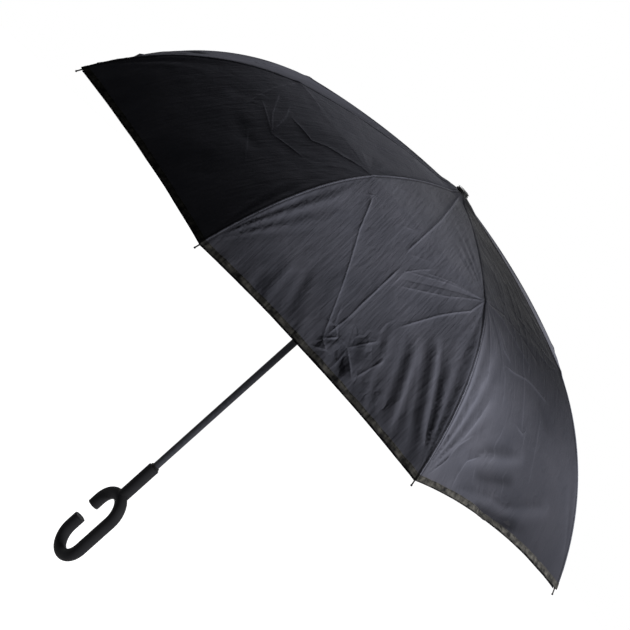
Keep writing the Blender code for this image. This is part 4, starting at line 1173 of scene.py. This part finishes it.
def eased(corners, radius, steps=4):
    # an open outline with each inner corner rounded
    corners = [np.array(corner, float) for corner in corners]
    made = [corners[0]]
    for before, corner, after in zip(corners, corners[1:], corners[2:]):
        back, ahead = before - corner, after - corner
        reach = min(radius, 0.45 * np.hypot(*back), 0.45 * np.hypot(*ahead))
        first = corner + back / np.hypot(*back) * reach
        last = corner + ahead / np.hypot(*ahead) * reach
        for step in range(steps + 1):
            share = step / steps
            made.append((1 - share) ** 2 * first + 2 * share * (1 - share) * corner + share ** 2 * last)
    return made + [corners[-1]]


def dress(obj, body, slot, *replaced):
    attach(obj, body)
    if replaced:
        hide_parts(*replaced)
    return obj


handle = dict(grip=0.0095, bend=0.0305, straight=0.059, offset=0.0025, upperArm=0.014, lowerArm=0.0195,
              lip=0.0009, stem=0.0094, stemTop=0.068, even=0.060, clear=0.0002, bore=0.0058,
              boreFoot=0.0157, sides=40)


def loopStations():
    # centres and headings along the loop in its own plane
    middle = -handle["offset"]
    upper = np.array([middle, -handle["bend"]])
    lower = np.array([middle, -handle["bend"] - handle["straight"]])
    spots = []
    for share in np.linspace(0, 1, 5)[:-1]:
        spots.append(upper + [-handle["bend"], -handle["upperArm"] * (1 - share)])
    for turn in np.linspace(math.pi, 0, 25):
        spots.append(upper + handle["bend"] * np.array([math.cos(turn), math.sin(turn)]))
    for share in np.linspace(0, 1, 15)[1:-1]:
        spots.append(upper + (lower - upper) * share + [handle["bend"], 0])
    for turn in np.linspace(0, -math.pi, 25):
        spots.append(lower + handle["bend"] * np.array([math.cos(turn), math.sin(turn)]))
    for share in np.linspace(0, 1, 6)[1:]:
        spots.append(lower + [-handle["bend"], handle["lowerArm"] * share])
    return np.array(spots)


def loopPiece():
    spots = loopStations()
    headings = np.gradient(spots, axis=0)
    headings /= np.hypot(*headings.T)[:, None]
    lip = handle["lip"]
    # each end: a flat set in behind a rounded lip, then a shallow groove
    end = [(0.0006, 0.55), (0.0006, 0.80), (0.0, 0.865), (0.0, 0.93), (0.30 * lip, 0.975), (lip, 1.0),
           (2.6 * lip, 1.0), (2.9 * lip, 0.985), (3.3 * lip, 0.985), (3.6 * lip, 1.0)]
    stations = [(spots[0] + headings[0] * inset, headings[0], size) for inset, size in end]
    stations += [(spot, heading, 1.0) for spot, heading in list(zip(spots, headings))[2:-2]]
    stations += [(spots[-1] - headings[-1] * inset, headings[-1], size) for inset, size in end[::-1]]
    rings = []
    for centre, heading, size in stations:
        side = np.array([-heading[1], heading[0]])
        rings.append([(centre[0] + side[0] * x, y, centre[1] + side[1] * x)
                      for x, y in circle(handle["grip"] * size, handle["sides"])])
    vertices, polygons = ringSkin(rings)
    obj = linkMesh("loop_grip", vertices, polygons, gripRubber, 55)
    obj.data.flip_normals()
    return dress(obj, "root", "grip_rubber", "handle_loop")


def stemPiece():
    # a sleeve that sits on the loop like a saddle and holds the shaft in its bore
    middle, height = -handle["offset"], -handle["bend"]
    size, top, bore = handle["stem"], handle["stemTop"], handle["bore"]

    def saddle(x, y):
        out = handle["bend"] + math.sqrt(max((handle["grip"] + handle["clear"]) ** 2 - y * y, 0))
        return height + math.sqrt(out * out - (x - middle) ** 2)

    rings = []
    for share, rise in ((0.5, 0.0), (0.97, 0.0), (1.0, 0.0004)):
        rings.append([(x, y, saddle(x, y) + rise) for x, y in circle(size * share, handle["sides"])])
    for share in np.linspace(0.12, 1, 8):
        rings.append([(x, y, saddle(x, y) + (handle["even"] - saddle(x, y)) * share)
                      for x, y in circle(size, handle["sides"])])
    for radius, z in ((size, top - 0.0052), (size * 0.985, top - 0.0049), (size * 0.985, top - 0.0043),
                      (size, top - 0.0040), (size, top - 0.0009), (size - 0.0003, top - 0.0003),
                      (size - 0.0010, top), (0.0066, top), (bore, top - 0.0006),
                      (bore, handle["boreFoot"]), (0.001, handle["boreFoot"])):
        rings.append([(x, y, z) for x, y in circle(radius, handle["sides"])])
    vertices, polygons = ringSkin(rings)
    obj = linkMesh("stem_grip", vertices, polygons, gripRubber, 50)
    return dress(obj, "root", "grip_rubber", "handle_stem")


shaft = dict(radius=0.0055, wall=0.0009, low=0.016, top=0.671, slotHalf=0.0011, slotReach=0.0075,
             slotGap=0.0003)


def shaftPiece():
    # the tube, with a slot for the catch
    low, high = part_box("shaft_catch")
    outside, inside = shaft["radius"], shaft["radius"] - shaft["wall"]
    outline = [(inside, shaft["low"])]
    outline += [(outside, height) for height in np.linspace(shaft["low"], shaft["top"], 24)]
    outline += [(inside, shaft["top"])]
    obj = turnedPiece("shaft_enamelled", outline, shaftEnamel, 56, closed=True)
    half, gap = shaft["slotHalf"], shaft["slotGap"]
    slot = boxSkin((0, -half, low.z - gap), (shaft["slotReach"], half, high.z + gap))
    cutter = linkMesh("slot_cutter", *slot, shaftEnamel)
    cutter.rotation_euler = (0, 0, pitchAngle / 2 + ribAngles[0])
    return dress(carved(obj, cutter), "root", "shaft_enamel", "shaft_tube")


def boxSkin(low, high):
    points = [(x, y, z) for x in (low[0], high[0]) for y in (low[1], high[1]) for z in (low[2], high[2])]
    sides = [(0, 1, 3, 2), (4, 6, 7, 5), (0, 4, 5, 1), (2, 3, 7, 6), (0, 2, 6, 4), (1, 5, 7, 3)]
    return points, sides


def carved(obj, cutter):
    # takes the cutter out of obj for good and drops the cutter
    cut = obj.modifiers.new("cut", "BOOLEAN")
    cut.operation = "DIFFERENCE"
    cut.solver = "EXACT"
    cut.object = cutter
    bpy.context.view_layer.update()
    view = bpy.context.evaluated_depsgraph_get()
    mesh = bpy.data.meshes.new_from_object(obj.evaluated_get(view))
    obj.modifiers.clear()
    obj.data = mesh
    bpy.data.objects.remove(cutter)
    return obj


cap = dict(low=0.6683, top=0.674, radius=0.0115, waist=0.0100, rim=0.0015, step=0.0005, crown=0.0060)


def capPiece():
    low, top, radius, waist = cap["low"], cap["top"], cap["radius"], cap["waist"]
    outline = [(0.0060, low), (radius, low), (radius, low + cap["rim"]),
               (waist, low + cap["rim"] + cap["step"]), (waist, top - cap["rim"] - cap["step"]),
               (radius, top - cap["rim"]), (cap["crown"] + 0.0012, top - 0.0002), (cap["crown"], top),
               (0.0008, top)]
    obj = turnedPiece("cap_moulded", eased(outline, 0.0004), blackPlastic, 64)
    return dress(obj, "root", "black_plastic", "top_cap")


collar = dict(bore=0.0058, slope=0.0012, inset=0.0016, soft=0.0005)


def collarPiece():
    low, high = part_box("stem_collar")
    radius = (high.x - low.x) / 2
    outline = [(collar["bore"], low.z), (radius, low.z), (radius, high.z - collar["slope"]),
               (radius - collar["inset"], high.z), (collar["bore"], high.z)]
    obj = turnedPiece("collar_moulded", eased(outline, collar["soft"]), blackPlastic, 48, closed=True)
    return dress(obj, "root", "black_plastic", "stem_collar")


tip = dict(socket=0.0015, socketLength=0.009, groove=0.93, pin=0.0010, ball=0.0015, length=0.0187,
           over=0.019, gap=0.0003)


def tipPieces():
    # a socket on the rod's end, a pin and a small ball, along the rod's last heading
    share = 1 - tip["over"] / rodRun
    start = arcPoints(armJoint, tipEnd, linkage["rodBend"], [share])[0][0]
    normal = arcPoints(armJoint, tipEnd, linkage["rodBend"], [(share + 1) / 2])[1][0]
    heading = np.array([normal[1], -normal[0]])
    start = start + heading * tip["gap"]
    ball = tip["length"] - tip["ball"]
    socket, groove = tip["socket"], tip["socket"] * tip["groove"]
    outline = [(0.0003, 0), (socket, 0.0), (socket, 0.002), (groove, 0.0023), (groove, 0.0027),
               (socket, 0.003), (socket, tip["socketLength"]), (tip["pin"], tip["socketLength"] + 0.0007),
               (tip["pin"], ball - 0.0011)]
    outline = eased(outline, 0.0003, 3)
    for turn in np.radians(np.linspace(-42, 84, 8)):
        outline.append((tip["ball"] * math.cos(turn), ball + tip["ball"] * math.sin(turn)))
    lean = Matrix.Rotation(math.atan2(heading[0], heading[1]), 4, "Y")
    onRod = Matrix.Translation((start[0], 0, start[1])) @ lean
    for index in range(ribCount):
        obj = turnedPiece("tip_%d" % (index + 1), outline, blackPlastic, 20)
        obj.data.transform(Matrix.Rotation(ribAngles[index], 4, "Z") @ onRod)
        dress(obj, "rod_outer_%d" % (index + 1), "black_plastic", "rib_tip_%d" % (index + 1))


loopPiece()
stemPiece()
shaftPiece()
capPiece()
collarPiece()
tipPieces()
print("handle, shaft, cap, collar and tips made")


# Finishes of the pieces that keep their solid shape

finishes = {"top_notch": blackPlastic, "runner": blackPlastic, "notch_ring": ringWire,
            "runner_ring": ringWire, "shaft_catch": ringWire, "joint_rivet": ringWire,
            "stretcher": barSteel, "rib": barSteel, "rod_inner": rodGlass, "rod_outer": rodGlass}
for name, obj in nodes.items():
    finish = finishes.get(name) or finishes.get(name.rsplit("_", 1)[0])
    if finish:
        obj.data.materials.clear()
        obj.data.materials.append(finish)


# Floor, world and lamps

studio = dict(floor=-0.75, floorSize=14, floorGrey=0.80, ambient=0.04, aim=(0, 0, 0.42))
lamps = [dict(name="key", azimuth=24, elevation=14, distance=1.5, size=0.4, power=30),
         dict(name="back", azimuth=165, elevation=38, distance=2.4, size=1.2, power=52)]


def seenDirectly(tree):
    # 1 for rays of the camera, of gloss and through glass
    path = addNode(tree, "LightPath")
    seen = sums(tree, "MAXIMUM", path.outputs["Is Camera Ray"], path.outputs["Is Glossy Ray"])
    return sums(tree, "MAXIMUM", seen, path.outputs["Is Transmission Ray"])


def makeFloor():
    half, height = studio["floorSize"] / 2, studio["floor"]
    corners = [(-half, -half, height), (half, -half, height), (half, half, height), (-half, half, height)]
    material, tree, shader = newMaterial("pale floor")
    obj = linkMesh("floor", corners, [(0, 1, 2, 3)], material)
    shader.inputs["Base Color"].default_value = (*[studio["floorGrey"]] * 3, 1)
    shader.inputs["Roughness"].default_value = 0.9
    place = addNode(tree, "NewGeometry").outputs["Position"]
    away = addNode(tree, "VectorMath", {0: place}, operation="LENGTH").outputs["Value"]
    lift = ranged(tree, away, 1.2, 2.6, 0.72, 1.0)
    tree.links.new(sums(tree, "MULTIPLY", seenDirectly(tree), lift), shader.inputs["Emission Strength"])
    shader.inputs["Emission Color"].default_value = (1, 1, 1, 1)


def makeWorld():
    world = bpy.data.worlds.new("studio")
    bpy.context.scene.world = world
    world.use_nodes = True
    tree = world.node_tree
    strength = ranged(tree, seenDirectly(tree), 0.0, 1.0, studio["ambient"], 1.0)
    background = tree.nodes["Background"]
    background.inputs["Color"].default_value = (1, 1, 1, 1)
    tree.links.new(strength, background.inputs["Strength"])


def softbox(name, azimuth, elevation, distance, size, power):
    data = bpy.data.lights.new(name, "AREA")
    data.shape = "SQUARE"
    data.size = size
    data.energy = power
    lamp = bpy.data.objects.new(name, data)
    lamp.visible_camera = False
    bpy.context.scene.collection.objects.link(lamp)
    turn, lift = math.radians(azimuth), math.radians(elevation)
    way = Vector((math.cos(turn) * math.cos(lift), math.sin(turn) * math.cos(lift), math.sin(lift)))
    lamp.location = Vector(studio["aim"]) + way * distance
    lamp.rotation_euler = way.to_track_quat("Z", "Y").to_euler()


makeFloor()
makeWorld()
for lamp in lamps:
    softbox(**lamp)
bpy.context.scene.view_settings.view_transform = "Standard"
print("studio made")
